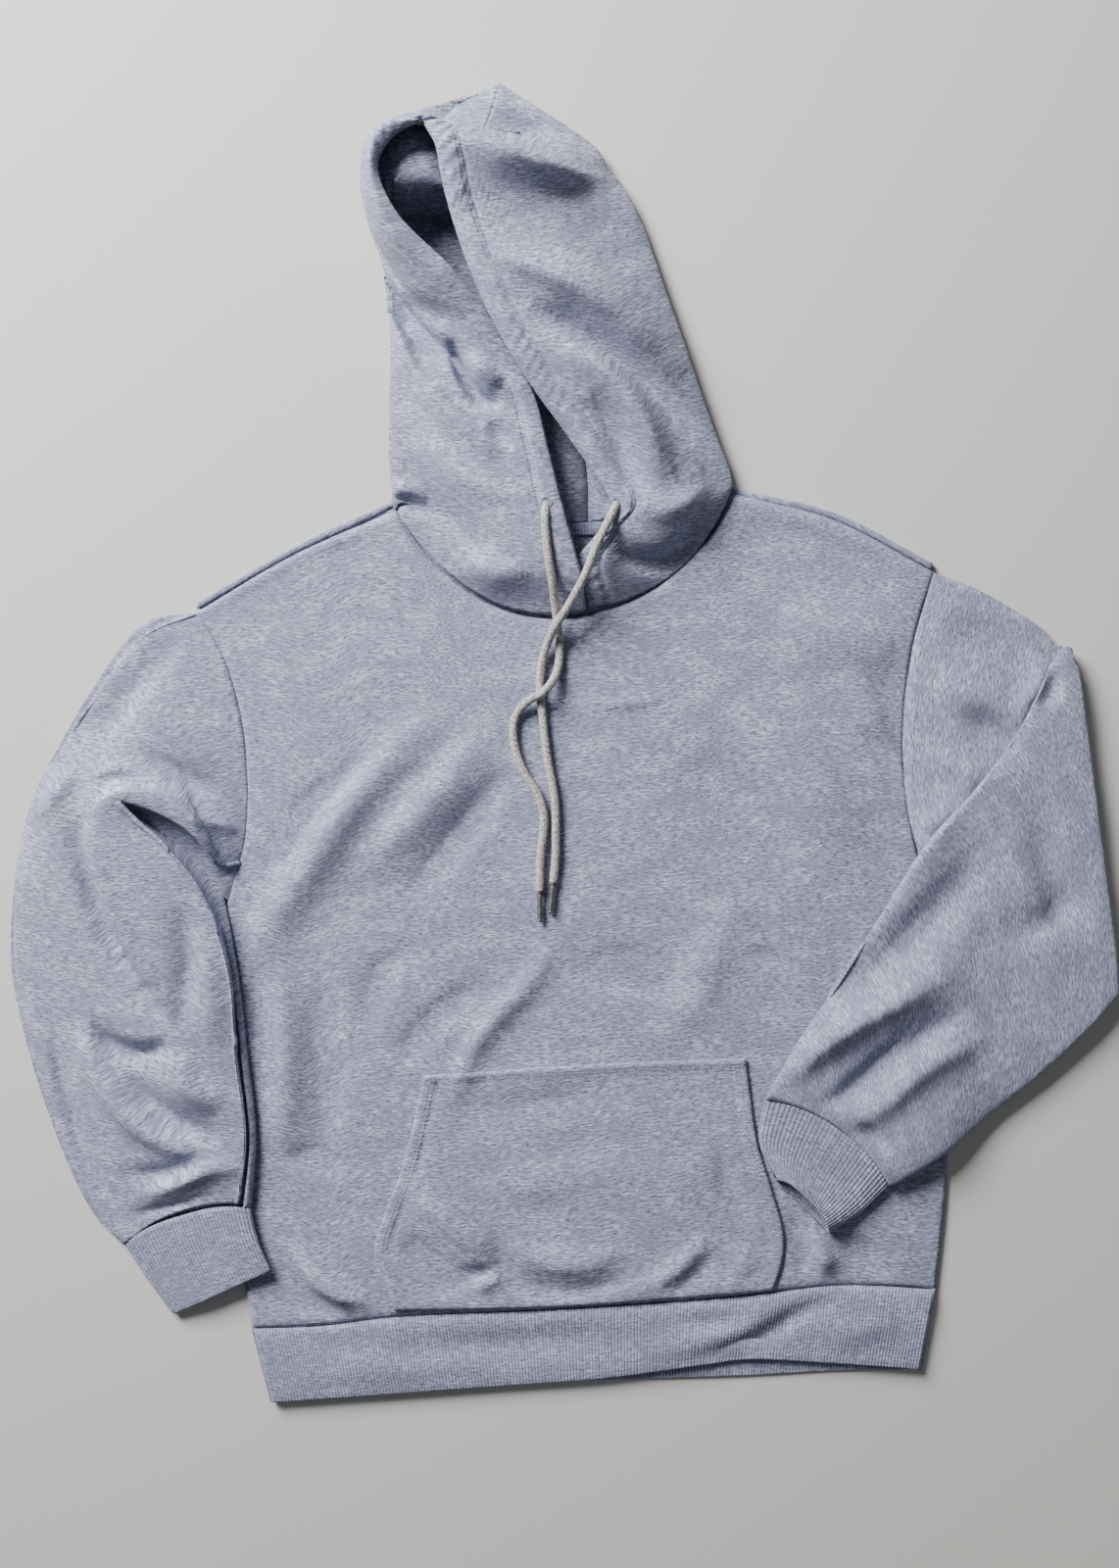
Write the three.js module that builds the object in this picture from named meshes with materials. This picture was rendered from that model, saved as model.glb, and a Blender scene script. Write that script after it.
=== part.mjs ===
// Pullover hoodie laid face up on a flat surface.
// Millimetres. +Z is up, +Y points from the hem to the hood, +X is to the right of someone
// looking down at the garment. The underside of the back panel lies in the plane z = 0.
// "left" and "right" in the names are the sides seen from above, not the wearer's.
import * as THREE from 'three';

// ---- driving dimensions -------------------------------------------------------------------
const FLEECE = 2.0;          // thickness of the fleece
const RIB = 2.6;             // thickness of the ribbed cuffs and hem band
const GAP = 0.4;             // clearance between neighbouring pieces at a seam
const ARMHOLE_GAP = 1.4;     // the same along the armholes, whose two edges are drawn differently
const FRONT_EDGE = 4.8;      // height of the front's upper face along its seams
const FRONT_LOFT = 2.4;      // how much the front rises inside its seams
const LOFT_RISE = 6;         // the front reaches its loft within 1/6 of its width
const FLAT_TUBE = 7.6;       // height of a sleeve that lies flat, its two layers together
const BAND_HEIGHT = 8.6;     // height of the flattened hem band
const BAND_ROUND = 2.2;      // how far the band's side edges are rounded in
const CUFF_HEIGHT = 8.8;     // height of a flattened cuff
const POCKET_LIFT = 0.5;     // clearance between the pocket and the front under it
const CORD_DIAMETER = 7;
const CORD_STEPS = 44;
const CORD_CLEAR = 0.8;      // clearance of a cord over the front
const CROSSING_CLEAR = 1.2;  // the same where one cord crosses the other
const AGLET_LENGTH = 26;
const AGLET_RADIUS = 2;
const TUBE_SIDES = 20;       // points round a sleeve or cuff
const TUBE_SQUARE = 0.7;     // below 1, a tube's section is squarer than an oval
const TUBE_LEVEL = 1.2;      // above 1, its two layers are level in the middle
const HEM_STEPS = 14;        // lengths that the hem seam is drawn in

// ---- finishes -----------------------------------------------------------------------------
const fleece = () => new THREE.MeshStandardMaterial({ color: 0x9b9fa3, roughness: 0.95 });
const ribKnit = () => new THREE.MeshStandardMaterial({ color: 0x93979b, roughness: 0.95 });
const braid = () => new THREE.MeshStandardMaterial({ color: 0xb9b4aa, roughness: 0.9 });
const dullMetal = () => new THREE.MeshStandardMaterial({ color: 0x7d7b78, roughness: 0.45, metalness: 1 });

// ---- curves -------------------------------------------------------------------------------
const vec = ([x, y, z = 0]) => new THREE.Vector3(x, y, z);
const mix = THREE.MathUtils.lerp;

function smooth(points) {
  return new THREE.CatmullRomCurve3(points.map(vec), false, 'centripetal');
}

function along(points, count) {
  return smooth(points).getSpacedPoints(count);
}

// Runs curves that meet end to end into one list of points, keeping the corners between them.
function chain(parts) {
  const run = [];
  for (const [points, count] of parts) {
    const piece = along(points, count);
    run.push(...(run.length ? piece.slice(1) : piece));
  }
  return run;
}

// ---- closed walls -------------------------------------------------------------------------
function signedVolume(points, faces) {
  let total = 0;
  const normal = new THREE.Vector3();
  for (const [a, b, c] of faces) {
    normal.crossVectors(points[b], points[c]);
    total += points[a].dot(normal);
  }
  return total / 6;
}

function closedMesh(name, points, faces, material) {
  const outward = signedVolume(points, faces) > 0 ? faces : faces.map(([a, b, c]) => [a, c, b]);
  const geometry = new THREE.BufferGeometry();
  geometry.setAttribute('position', new THREE.Float32BufferAttribute(
    points.flatMap((p) => [p.x, p.y, p.z]), 3));
  geometry.setIndex(outward.flat());
  geometry.computeVertexNormals();
  const mesh = new THREE.Mesh(geometry, material);
  mesh.name = name;
  return mesh;
}

function quad(faces, a, b, c, d) {
  faces.push([a, b, c], [a, c, d]);
}

// The unit normal of a grid of points at one of them, from its neighbours' differences.
function gridNormal(grid, j, i) {
  const rows = grid.length;
  const columns = grid[0].length;
  const across = grid[j][Math.min(i + 1, columns - 1)].clone().sub(grid[j][Math.max(i - 1, 0)]);
  const up = grid[Math.min(j + 1, rows - 1)][i].clone().sub(grid[Math.max(j - 1, 0)][i]);
  return across.cross(up).normalize();
}

// A wall between two grids of the same size, closed all round its rim.
function wallBetween(name, outer, inner, material) {
  const rows = outer.length;
  const columns = outer[0].length;
  const points = [...outer.flat(), ...inner.flat()];
  const half = rows * columns;
  const at = (j, i) => j * columns + i;
  const faces = [];
  for (let j = 0; j + 1 < rows; j += 1) {
    for (let i = 0; i + 1 < columns; i += 1) {
      quad(faces, at(j, i), at(j, i + 1), at(j + 1, i + 1), at(j + 1, i));
      quad(faces, half + at(j, i), half + at(j + 1, i), half + at(j + 1, i + 1), half + at(j, i + 1));
    }
  }
  for (let i = 0; i + 1 < columns; i += 1) {
    quad(faces, at(0, i + 1), at(0, i), half + at(0, i), half + at(0, i + 1));
    const last = rows - 1;
    quad(faces, at(last, i), at(last, i + 1), half + at(last, i + 1), half + at(last, i));
  }
  for (let j = 0; j + 1 < rows; j += 1) {
    quad(faces, at(j, 0), at(j + 1, 0), half + at(j + 1, 0), half + at(j, 0));
    const last = columns - 1;
    quad(faces, at(j + 1, last), at(j, last), half + at(j, last), half + at(j + 1, last));
  }
  return closedMesh(name, points, faces, material);
}

// A wall of even thickness behind a grid whose normals point out of the cloth.
function sheetWall(name, grid, thickness, material) {
  const inner = grid.map((row, j) => row.map((point, i) => (
    point.clone().addScaledVector(gridNormal(grid, j, i), -thickness))));
  return wallBetween(name, grid, inner, material);
}

// ---- flattened tubes ----------------------------------------------------------------------
// A station is one cross-section of a flattened tube: a and b are its two edges, thick is the
// unit direction of its thickness, high its whole height, and bow pushes its middle sideways
// and its upper layer up.
const station = (a, b, high, bow = [0, 0, 0], thick = [0, 0, 1]) => ({ a, b, high, bow, thick });

// A station whose edges rest at heights baseA and baseB above the surface.
function lying(a, b, high, { baseA = 0, baseB = 0, bow = [0, 0, 0] } = {}) {
  return station([...a, baseA + high / 2], [...b, baseB + high / 2], high, bow);
}

// Seats a sleeve's first station on an armhole, on its left (-1) or right (1) side.
function seated(first, armhole, side) {
  return { ...first, seam: [...armhole].reverse(), seamGap: [side * ARMHOLE_GAP, 0, 0] };
}

// Adds smooth stations between the given ones. A first station with a seam follows that curve,
// a seam's gap away from it, from its edge a to its edge b.
function refine(stations, between) {
  const track = (key) => new THREE.CatmullRomCurve3(stations.map((s) => vec(s[key])), false,
    'catmullrom', 0.5);
  const tracks = { a: track('a'), b: track('b'), bow: track('bow'), thick: track('thick') };
  const fine = [];
  const total = (stations.length - 1) * between;
  for (let k = 0; k <= total; k += 1) {
    const t = k / total;
    const low = Math.min(Math.floor(k / between), stations.length - 2);
    const high = mix(stations[low].high, stations[low + 1].high, k / between - low);
    fine.push({
      a: tracks.a.getPoint(t),
      b: tracks.b.getPoint(t),
      bow: tracks.bow.getPoint(t),
      thick: tracks.thick.getPoint(t).normalize(),
      high,
    });
  }
  if (stations[0].seam) {
    Object.assign(fine[0], { seam: smooth(stations[0].seam), bow: vec(stations[0].seamGap) });
  }
  return fine;
}

const asVectors = (s) => ({ ...s, a: vec(s.a), b: vec(s.b), bow: vec(s.bow), thick: vec(s.thick) });

// One ring of a station, drawn in by `inset` all round: a flat-topped oval.
function ringOf(stationAt, inset) {
  const { a, b, bow, thick, high, seam } = stationAt;
  const width = a.distanceTo(b);
  const keep = 1 - (2 * inset) / width;
  const ring = [];
  for (let i = 0; i < TUBE_SIDES; i += 1) {
    const angle = (2 * Math.PI * i) / TUBE_SIDES;
    const across = Math.sign(Math.cos(angle)) * Math.abs(Math.cos(angle)) ** TUBE_SQUARE;
    const round = TUBE_LEVEL * Math.sign(Math.sin(angle)) * Math.abs(Math.sin(angle)) ** TUBE_SQUARE;
    const height = THREE.MathUtils.clamp(round, -1, 1);
    const share = (1 - across * keep) / 2;
    const point = seam ? seam.getPointAt(share).setZ(mix(a.z, b.z, share)) : a.clone().lerp(b, share);
    const pushed = seam ? 1 : 1 - across * across;
    point.add(new THREE.Vector3(bow.x, bow.y, bow.z * Math.max(height, 0)).multiplyScalar(pushed));
    point.addScaledVector(thick, height * (high / 2 - inset));
    point.z = Math.max(point.z, inset);
    ring.push(point);
  }
  return ring;
}

// A tube with open ends between two stacks of rings, its wall closed at both rims.
function tubeBetween(name, outer, inner, material) {
  const rings = outer.length;
  const sides = outer[0].length;
  const points = [...outer.flat(), ...inner.flat()];
  const half = rings * sides;
  const at = (j, i) => j * sides + (i % sides);
  const faces = [];
  const last = rings - 1;
  for (let i = 0; i < sides; i += 1) {
    for (let j = 0; j < last; j += 1) {
      quad(faces, at(j, i), at(j, i + 1), at(j + 1, i + 1), at(j + 1, i));
      quad(faces, half + at(j, i), half + at(j + 1, i), half + at(j + 1, i + 1), half + at(j, i + 1));
    }
    quad(faces, at(0, i + 1), at(0, i), half + at(0, i), half + at(0, i + 1));
    quad(faces, at(last, i), at(last, i + 1), half + at(last, i + 1), half + at(last, i));
  }
  return closedMesh(name, points, faces, material);
}

function tubeWall(name, stations, thickness, material) {
  const outer = stations.map((s) => ringOf(s, 0));
  const inner = stations.map((s) => ringOf(s, thickness));
  return tubeBetween(name, outer, inner, material);
}

// ---- outlines of the body -----------------------------------------------------------------
const hemLeft = [-254, -477];
const hemRight = [302, -445];
const armpitLeft = [-274, -129];
const armpitRight = [290, -102];
const shoulderLeft = [-299, 106];
const shoulderRight = [301, 138];
const neckLeft = [-137, 189];
const neckRight = [134, 203];

const hemSeam = [hemLeft, [-197, -475], [-141, -468], [-13, -462], [131, -452], [227, -442], hemRight];
const sideLeft = [hemLeft, [-272, -354], [-277, -220], armpitLeft];
const sideRight = [hemRight, [311, -354], [312, -260], [302, -160], armpitRight];
const armholeLeft = [armpitLeft, [-259, -70], [-262, 10], [-280, 74], shoulderLeft];
const armholeRight = [armpitRight, [279, -50], [276, 10], [284, 80], shoulderRight];
const seamShoulderLeft = [shoulderLeft, [-221, 152], neckLeft];
const seamShoulderRight = [neckRight, [219, 181], shoulderRight];
const frontNeck = [neckLeft, [-109, 149], [-60, 112], [-15, 101], [50, 113], [95, 141], [125, 178], neckRight];
const backNeck = [[-139, 197], [-75, 178], [18, 173], [90, 184], [136, 207]];
const backShoulderLeft = [[-299, 114], [-221, 159], [-139, 197]];
const backShoulderRight = [[136, 207], [220, 187], [300, 146]];

// ---- front: one curved panel, its rows running from hem to shoulder ---------------------------
const ACROSS = { shoulder: 5, neck: 12 };
const UP = { side: 8, armhole: 6 };

const hemLine = along(hemSeam, HEM_STEPS);
const topEdge = chain([
  [seamShoulderLeft, ACROSS.shoulder],
  [frontNeck, ACROSS.neck],
  [seamShoulderRight, ACROSS.shoulder],
]);
const leftEdge = chain([[sideLeft, UP.side], [armholeLeft, UP.armhole]]);
const rightEdge = chain([[sideRight, UP.side], [armholeRight, UP.armhole]]);

// The point a fraction u of the way along the hem seam, on its straight lengths.
function onHem(u) {
  const step = Math.min(Math.floor(u * HEM_STEPS), HEM_STEPS - 1);
  return hemLine[step].clone().lerp(hemLine[step + 1], u * HEM_STEPS - step);
}

function frontPlan(j, i) {
  const rows = leftEdge.length - 1;
  const columns = topEdge.length - 1;
  const u = (topEdge[i].x - topEdge[0].x) / (topEdge[columns].x - topEdge[0].x);
  const heightOf = (edge) => (edge[j].y - edge[0].y) / (edge[rows].y - edge[0].y);
  const v = mix(heightOf(leftEdge), heightOf(rightEdge), u);
  const bottom = onHem(u);
  const point = new THREE.Vector3();
  point.addScaledVector(bottom, 1 - v).addScaledVector(topEdge[i], v);
  point.addScaledVector(leftEdge[j], 1 - u).addScaledVector(rightEdge[j], u);
  point.addScaledVector(leftEdge[0], -(1 - u) * (1 - v)).addScaledVector(rightEdge[0], -u * (1 - v));
  point.addScaledVector(leftEdge[rows], -(1 - u) * v).addScaledVector(rightEdge[rows], -u * v);
  const inside = Math.min(1, LOFT_RISE * Math.min(u, 1 - u));
  point.z = FRONT_EDGE + FRONT_LOFT * Math.sin((inside * Math.PI) / 2);
  return point;
}

const frontGrid = leftEdge.map((_, j) => topEdge.map((__, i) => frontPlan(j, i)));

function buildFront() {
  return sheetWall('front', frontGrid, FLEECE, fleece());
}

function buildBack() {
  const outline = chain([
    [sideLeft, UP.side],
    [armholeLeft.slice(0, -1).concat([backShoulderLeft[0]]), UP.armhole],
    [backShoulderLeft, ACROSS.shoulder],
    [backNeck, ACROSS.neck],
    [backShoulderRight, ACROSS.shoulder],
    [[backShoulderRight[2], ...armholeRight.slice(0, -1).reverse()], UP.armhole],
    [[...sideRight].reverse(), UP.side],
  ]);
  const hem = frontGrid[0].slice(1, -1).reverse();
  const shape = new THREE.Shape([...outline, ...hem].map((p) => new THREE.Vector2(p.x, p.y)));
  const geometry = new THREE.ExtrudeGeometry(shape, { depth: FLEECE, bevelEnabled: false });
  const mesh = new THREE.Mesh(geometry, fleece());
  mesh.name = 'back';
  return mesh;
}

// ---- hem band: a flattened ring of rib below the hem seam --------------------------------------
const bandEdge = [[-239, -536], [-141, -529], [-13, -518], [75, -513], [139, -502], [235, -505], [291, -510]];

// One ring of the band, drawn in by `inset`: over the front layer, round and back underneath.
function bandRing(row, inset) {
  const last = row.length - 1;
  const place = (p, z, inwards) => new THREE.Vector3(p.x + inwards, p.y, z);
  const layer = (z) => row.map((p, i) => {
    const inwards = i === 0 ? BAND_ROUND + inset : i === last ? -BAND_ROUND - inset : 0;
    return place(p, z, inwards);
  });
  return [
    place(row[0], BAND_HEIGHT / 2, inset),
    ...layer(BAND_HEIGHT - inset),
    place(row[last], BAND_HEIGHT / 2, -inset),
    ...layer(inset).reverse(),
  ];
}

function buildHemBand() {
  const upper = frontGrid[0].map((p) => new THREE.Vector3(p.x, p.y - GAP, 0));
  const lower = along(bandEdge, upper.length - 1);
  const rows = [0, 0.5, 1].map((t) => upper.map((p, i) => p.clone().lerp(lower[i], t)));
  const outer = rows.map((row) => bandRing(row, 0));
  const inner = rows.map((row) => bandRing(row, RIB));
  return tubeBetween('hem_band', outer, inner, ribKnit());
}

// ---- sleeves ------------------------------------------------------------------------------
// The left sleeve lies flat round a sharp bend at the elbow. Its outer edge sweeps round the
// bend; its inner edge buckles, so the cloth stands up in a rim on both sides of a deep fold.
// Each row gives the outer edge, the top of the rim, the edge down in the fold, the heights of
// the upper layer on its way to the rim and on it, and the height that the inner edge rests at.
const armRow = (outer, rim, foot, rise, base = 0) => ({ outer, rim, foot, rise, base });

const leftSleeveRows = [
  armRow([-299, 106], [-278, -92], [-274, -129], [9.6, 9.6, 9.6]),
  armRow([-341, 86], [-286, -88], [-280, -116], [14, 20, 26]),
  armRow([-374, 47], [-296, -73], [-290, -100], [16, 26, 38]),
  armRow([-405, 0], [-317, -50], [-310, -76], [18, 28, 42]),
  armRow([-430, -44], [-345, -41], [-337, -56], [20, 30, 42]),
  armRow([-443, -90], [-366, -48], [-352, -49], [20, 30, 40]),
  armRow([-447, -138], [-352, -68], [-338, -64], [18, 30, 38]),
  armRow([-445, -182], [-330, -92], [-313, -86], [16, 28, 36]),
  armRow([-434, -230], [-300, -134], [-292, -118], [16, 26, 30]),
  armRow([-418, -286], [-282, -190], [-270, -182], [16, 24, 26], 8.4),
  armRow([-398, -342], [-272, -258], [-257, -252], [15, 22, 22], 8.4),
  armRow([-379, -382], [-264, -324], [-250, -318], [13, 19, 20], 8.4),
  armRow([-358, -408], [-270, -381], [-254, -376], [11, 16, 17], 8.4),
];
const EDGE_ROUND = 4;        // how far in from an edge a layer is level
const RING_POINTS = 20;
const ARM_BETWEEN = 2;
const UNDER_REACH = 36;      // how much of the underside rests at the inner edge's height
const ON_RISE = [0.3, 0.65]; // where on its way to the rim the upper layer has its two heights
const RIM_SHARE = 1 / 60;    // how far the rim's inner face stays back for each millimetre of wall

// The height of the eye that the outlines were set out from, and the point below it: a raised
// point is drawn in towards that point by its share of the height.
const EYE_HEIGHT = 1300;
const EYE_OVER = [-4, -34];

function drawnIn([x, y, z]) {
  const share = 1 - z / EYE_HEIGHT;
  return [EYE_OVER[0] + (x - EYE_OVER[0]) * share, EYE_OVER[1] + (y - EYE_OVER[1]) * share, z];
}

// One closed ring through a row, drawn in by `inset` all round.
function armRing({ outer, rim, foot, rise, base }, inset) {
  const run = new THREE.Vector2(foot[0] - outer[0], foot[1] - outer[1]).normalize();
  const from = ([x, y], step, z) => [x + run.x * step, y + run.y * step, z];
  const onWay = (share, z) => drawnIn([mix(outer[0], rim[0], share), mix(outer[1], rim[1], share), z]);
  const half = FLAT_TUBE / 2;
  const controls = [
    from(outer, inset, half),
    from(outer, EDGE_ROUND + inset / 2, FLAT_TUBE - inset),
    onWay(ON_RISE[0], rise[0] - inset),
    onWay(ON_RISE[1], rise[1] - inset),
    onWay(1 - inset * RIM_SHARE, rise[2] - inset),
    from(foot, -EDGE_ROUND - inset / 2, base + FLAT_TUBE - inset),
    from(foot, -inset, base + half),
    from(foot, -EDGE_ROUND - inset / 2, base + inset),
    from(foot, -UNDER_REACH, base + inset),
    from(outer, EDGE_ROUND + inset / 2, inset),
  ];
  const ring = new THREE.CatmullRomCurve3(controls.map(vec), true, 'catmullrom', 0.5);
  return ring.getPoints(RING_POINTS).slice(0, -1).map((p) => p.setZ(Math.max(p.z, inset)));
}

// Puts the first ring on the armhole curve, a seam's gap away from it.
function seatRing(ring, { outer, foot }, seam) {
  const whole = new THREE.Vector2(foot[0] - outer[0], foot[1] - outer[1]);
  ring.forEach((point) => {
    const reach = new THREE.Vector2(point.x - outer[0], point.y - outer[1]).dot(whole);
    const share = THREE.MathUtils.clamp(reach / whole.lengthSq(), 0, 1);
    const onSeam = seam.getPointAt(share);
    point.set(onSeam.x - ARMHOLE_GAP, onSeam.y, point.z);
  });
}

// Smooth rings between the rows' own rings.
function armRings(inset) {
  const seam = smooth([...armholeLeft].reverse());
  const rings = leftSleeveRows.map((row) => armRing(row, inset));
  seatRing(rings[0], leftSleeveRows[0], seam);
  const lines = rings[0].map((_, i) => (
    new THREE.CatmullRomCurve3(rings.map((ring) => ring[i]), false, 'catmullrom', 0.5)
      .getPoints((rings.length - 1) * ARM_BETWEEN)));
  return lines[0].map((_, j) => lines.map((line) => line[j].clone().setZ(Math.max(line[j].z, inset))));
}

function buildLeftSleeve() {
  return tubeBetween('sleeve_left', armRings(0), armRings(FLEECE), fleece());
}

// The right sleeve lies flat to the right as far as its fold line, turns over it and comes back
// on top of itself and of the body.
const foldTop = [411, 78];
const foldBottom = [447, -206];
const TURN_RADIUS = FLAT_TUBE / 2 + 1.6;
const FOREARM_BASE = 2 * TURN_RADIUS;

// Stations round the fold: the path swings up and over the line between the two fold corners.
function turnOver(steps) {
  const line = vec(foldBottom).sub(vec(foldTop)).normalize();
  const out = new THREE.Vector3(-line.y, line.x, 0);
  const turned = [];
  for (let k = 1; k < steps; k += 1) {
    const angle = (Math.PI * k) / steps;
    const reach = TURN_RADIUS * (Math.sin(angle) - 1);
    const rise = FLAT_TUBE / 2 + TURN_RADIUS * (1 - Math.cos(angle));
    const place = (corner) => [corner[0] + out.x * reach, corner[1] + out.y * reach, rise];
    const thick = out.clone().multiplyScalar(-Math.sin(angle));
    thick.z = Math.cos(angle);
    turned.push(station(place(foldTop), place(foldBottom), FLAT_TUBE, [0, 0, 0], thick.toArray()));
  }
  return turned;
}

function upperArm(a, b, bow = [0, 0, 0]) {
  return station([...a, FLAT_TUBE / 2], [...b, FLAT_TUBE / 2], FLAT_TUBE, bow);
}

function forearm(a, b, high, baseA, baseB) {
  return station([...a, baseA + high / 2], [...b, baseB + high / 2], high, [0, 0, 0], [0, 0, -1]);
}

const rightSleeveStations = [
  seated(upperArm([301, 138], [290, -102], [-19, -5, 0]), armholeRight, 1),
  upperArm([339, 123], [327, -134]),
  upperArm([375, 102], [371, -166]),
  upperArm([400, 84], [415, -194]),
  ...turnOver(5),
  forearm([396, 68], [424, -230], FLAT_TUBE, FOREARM_BASE, FOREARM_BASE),
  forearm([367, 10], [387, -266], 10, FOREARM_BASE, 8),
  forearm([331, -38], [343, -302], 13, FOREARM_BASE, 5),
  forearm([291, -82], [309, -330], 16, FOREARM_BASE, 8.4),
  forearm([254, -141], [290, -343], 16, 9.4, 8.4),
  forearm([219, -197], [275, -352], 14, 8.4, 8.4),
  forearm([189, -241], [267, -357], 12, 8.4, 8.4),
  forearm([162, -288], [262, -358], 11, 8.4, 8.4),
];

function buildRightSleeve() {
  return tubeWall('sleeve_right', refine(rightSleeveStations, 2), FLEECE, fleece());
}

// ---- cuffs --------------------------------------------------------------------------------
function buildLeftCuff() {
  const stations = [
    lying([-356.6, -410.4], [-253.6, -378], CUFF_HEIGHT, { baseB: 8.4 }),
    lying([-341, -434], [-248, -402], CUFF_HEIGHT, { baseB: 8.4 }),
    lying([-319, -464], [-238, -426], CUFF_HEIGHT, { baseB: 7.8 }),
  ];
  return tubeWall('cuff_left', stations.map(asVectors), RIB, ribKnit());
}

function buildRightCuff() {
  const stations = [
    forearm([160.6, -290.6], [260.6, -360.6], CUFF_HEIGHT, 8.4, 8.4),
    forearm([157, -322], [239, -380], CUFF_HEIGHT, 8.4, 8.4),
    forearm([170, -352], [214, -396], CUFF_HEIGHT, 8.4, 8.4),
  ];
  return tubeWall('cuff_right', stations.map(asVectors), RIB, ribKnit());
}

// ---- kangaroo pocket: the front's own points, moved out ---------------------------------------
const pocketTop = [[-114, -270], [19, -261], [147, -256]];
const pocketLeft = [[-138, -461], [-154, -412], [-132, -346], [-114, -270]];
const pocketRight = [[169, -445], [178, -400], [157, -326], [147, -256]];
const POCKET_COLUMNS = 10;
const POCKET_ROWS = 6;
const POCKET_SAG = 1.8;      // how far the middle of the pocket's foot hangs down

function buildPocket() {
  const left = along(pocketLeft, POCKET_ROWS);
  const right = along(pocketRight, POCKET_ROWS);
  const top = smooth(pocketTop);
  const grid = left.map((start, j) => {
    const end = right[j];
    const v = j / POCKET_ROWS;
    return Array.from({ length: POCKET_COLUMNS + 1 }, (_, i) => {
      const u = i / POCKET_COLUMNS;
      const point = start.clone().lerp(end, u);
      const crown = top.getPointAt(u).y - mix(pocketTop[0][1], pocketTop[2][1], u);
      point.y += crown * v - POCKET_SAG * Math.sin(Math.PI * u) * (1 - v);
      point.z = FRONT_EDGE + FRONT_LOFT + POCKET_LIFT + FLEECE;
      return point;
    });
  });
  return sheetWall('kangaroo_pocket', grid, FLEECE, fleece());
}

// ---- hood ---------------------------------------------------------------------------------
// Each half is one panel with its drawcord casing. A row runs from the edge of the face opening
// over the top layer, round the outer fold and under to the centre seam; the rows climb from
// the neck seam to the crown.
const hoodRightRows = [
  [[19, 110, 14], [52, 117, 11], [88, 137, 11], [116, 167, 11], [134, 206, 9], [95, 196, 0], [19, 179, 0]],
  [[17, 146, 20], [50, 152, 27], [88, 170, 27], [118, 194, 21], [136, 215, 9], [92, 224, 0], [19, 216, 0]],
  [[31, 202, 30], [60, 212, 38], [92, 228, 34], [112, 238, 22], [124, 248, 9], [82, 264, 0], [11, 264, 0]],
  [[3, 250, 37], [32, 268, 45], [66, 280, 42], [92, 286, 26], [110, 288, 9], [66, 312, 0], [-5, 312, 0]],
  [[-29, 294, 43], [0, 314, 51], [36, 330, 48], [72, 334, 28], [95, 332, 9], [50, 360, 0], [-21, 366, 0]],
  [[-57, 342, 50], [-28, 362, 58], [10, 378, 54], [48, 386, 30], [77, 384, 9], [34, 414, 0], [-37, 414, 0]],
  [[-81, 396, 54], [-52, 412, 62], [-14, 424, 56], [24, 432, 30], [59, 432, 9], [18, 458, 0], [-45, 454, 0]],
  [[-96, 446, 58], [-70, 456, 64], [-36, 462, 58], [-4, 466, 34], [27, 480, 9], [-6, 494, 0], [-49, 486, 0]],
  [[-114, 504, 61], [-98, 504, 61], [-78, 503, 46], [-60, 508, 24], [-50, 537, 9], [-51, 526, 0], [-51, 512, 0]],
];

const hoodLeftRows = [
  [[18, 109, 19], [-17, 105, 13], [-60, 115, 11], [-104, 147, 11], [-137, 193, 9], [-90, 187, 0], [18, 179, 0]],
  [[13, 142, 30], [-20, 147, 33], [-62, 162, 28], [-108, 190, 20], [-141, 206, 9], [-92, 214, 0], [18, 216, 0]],
  [[0, 190, 32], [-30, 196, 35], [-70, 208, 31], [-114, 228, 20], [-143, 242, 9], [-94, 260, 0], [10, 264, 0]],
  [[-13, 242, 27], [-40, 250, 31], [-78, 258, 29], [-116, 268, 20], [-143, 276, 9], [-100, 308, 0], [-6, 312, 0]],
  [[-40, 290, 27], [-62, 298, 30], [-90, 306, 28], [-120, 312, 18], [-142, 318, 9], [-106, 356, 0], [-22, 366, 0]],
  [[-70, 344, 34], [-84, 342, 37], [-104, 348, 26], [-126, 356, 17], [-143, 362, 9], [-112, 402, 0], [-38, 414, 0]],
  [[-96, 386, 50], [-112, 378, 52], [-126, 382, 36], [-140, 388, 20], [-148, 396, 9], [-118, 440, 0], [-46, 454, 0]],
  [[-138, 432, 64], [-149, 426, 64], [-156, 426, 42], [-159, 430, 22], [-158, 438, 9], [-122, 470, 0], [-50, 486, 0]],
  [[-154, 474, 68], [-162, 473, 68], [-166, 475, 44], [-163, 482, 24], [-155, 492, 9], [-110, 496, 0], [-52, 500, 0]],
  [[-120, 511, 64], [-103, 514, 58], [-86, 514, 40], [-68, 520, 22], [-53, 538, 9], [-54, 526, 0], [-53, 512, 0]],
];

const HOOD_ACROSS = 16;
const HOOD_BETWEEN = 2;

// A smooth grid through a net of control points.
function netGrid(rows, across, between) {
  const fineRows = rows.map((row) => new THREE.CatmullRomCurve3(row.map(vec), false, 'catmullrom', 0.5)
    .getPoints(across));
  const columns = fineRows[0].map((_, i) => (
    new THREE.CatmullRomCurve3(fineRows.map((row) => row[i]), false, 'catmullrom', 0.5)
      .getPoints((rows.length - 1) * between)));
  return columns[0].map((_, j) => columns.map((column) => {
    const point = column[j].clone();
    point.z = Math.max(point.z, 0);
    return point;
  }));
}

function buildHoodHalf(name, rows, flip) {
  const grid = netGrid(rows.map((row) => row.map(drawnIn)), HOOD_ACROSS, HOOD_BETWEEN);
  const facing = flip ? grid.map((row) => [...row].reverse()) : grid;
  return sheetWall(name, facing, FLEECE, fleece());
}

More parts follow.
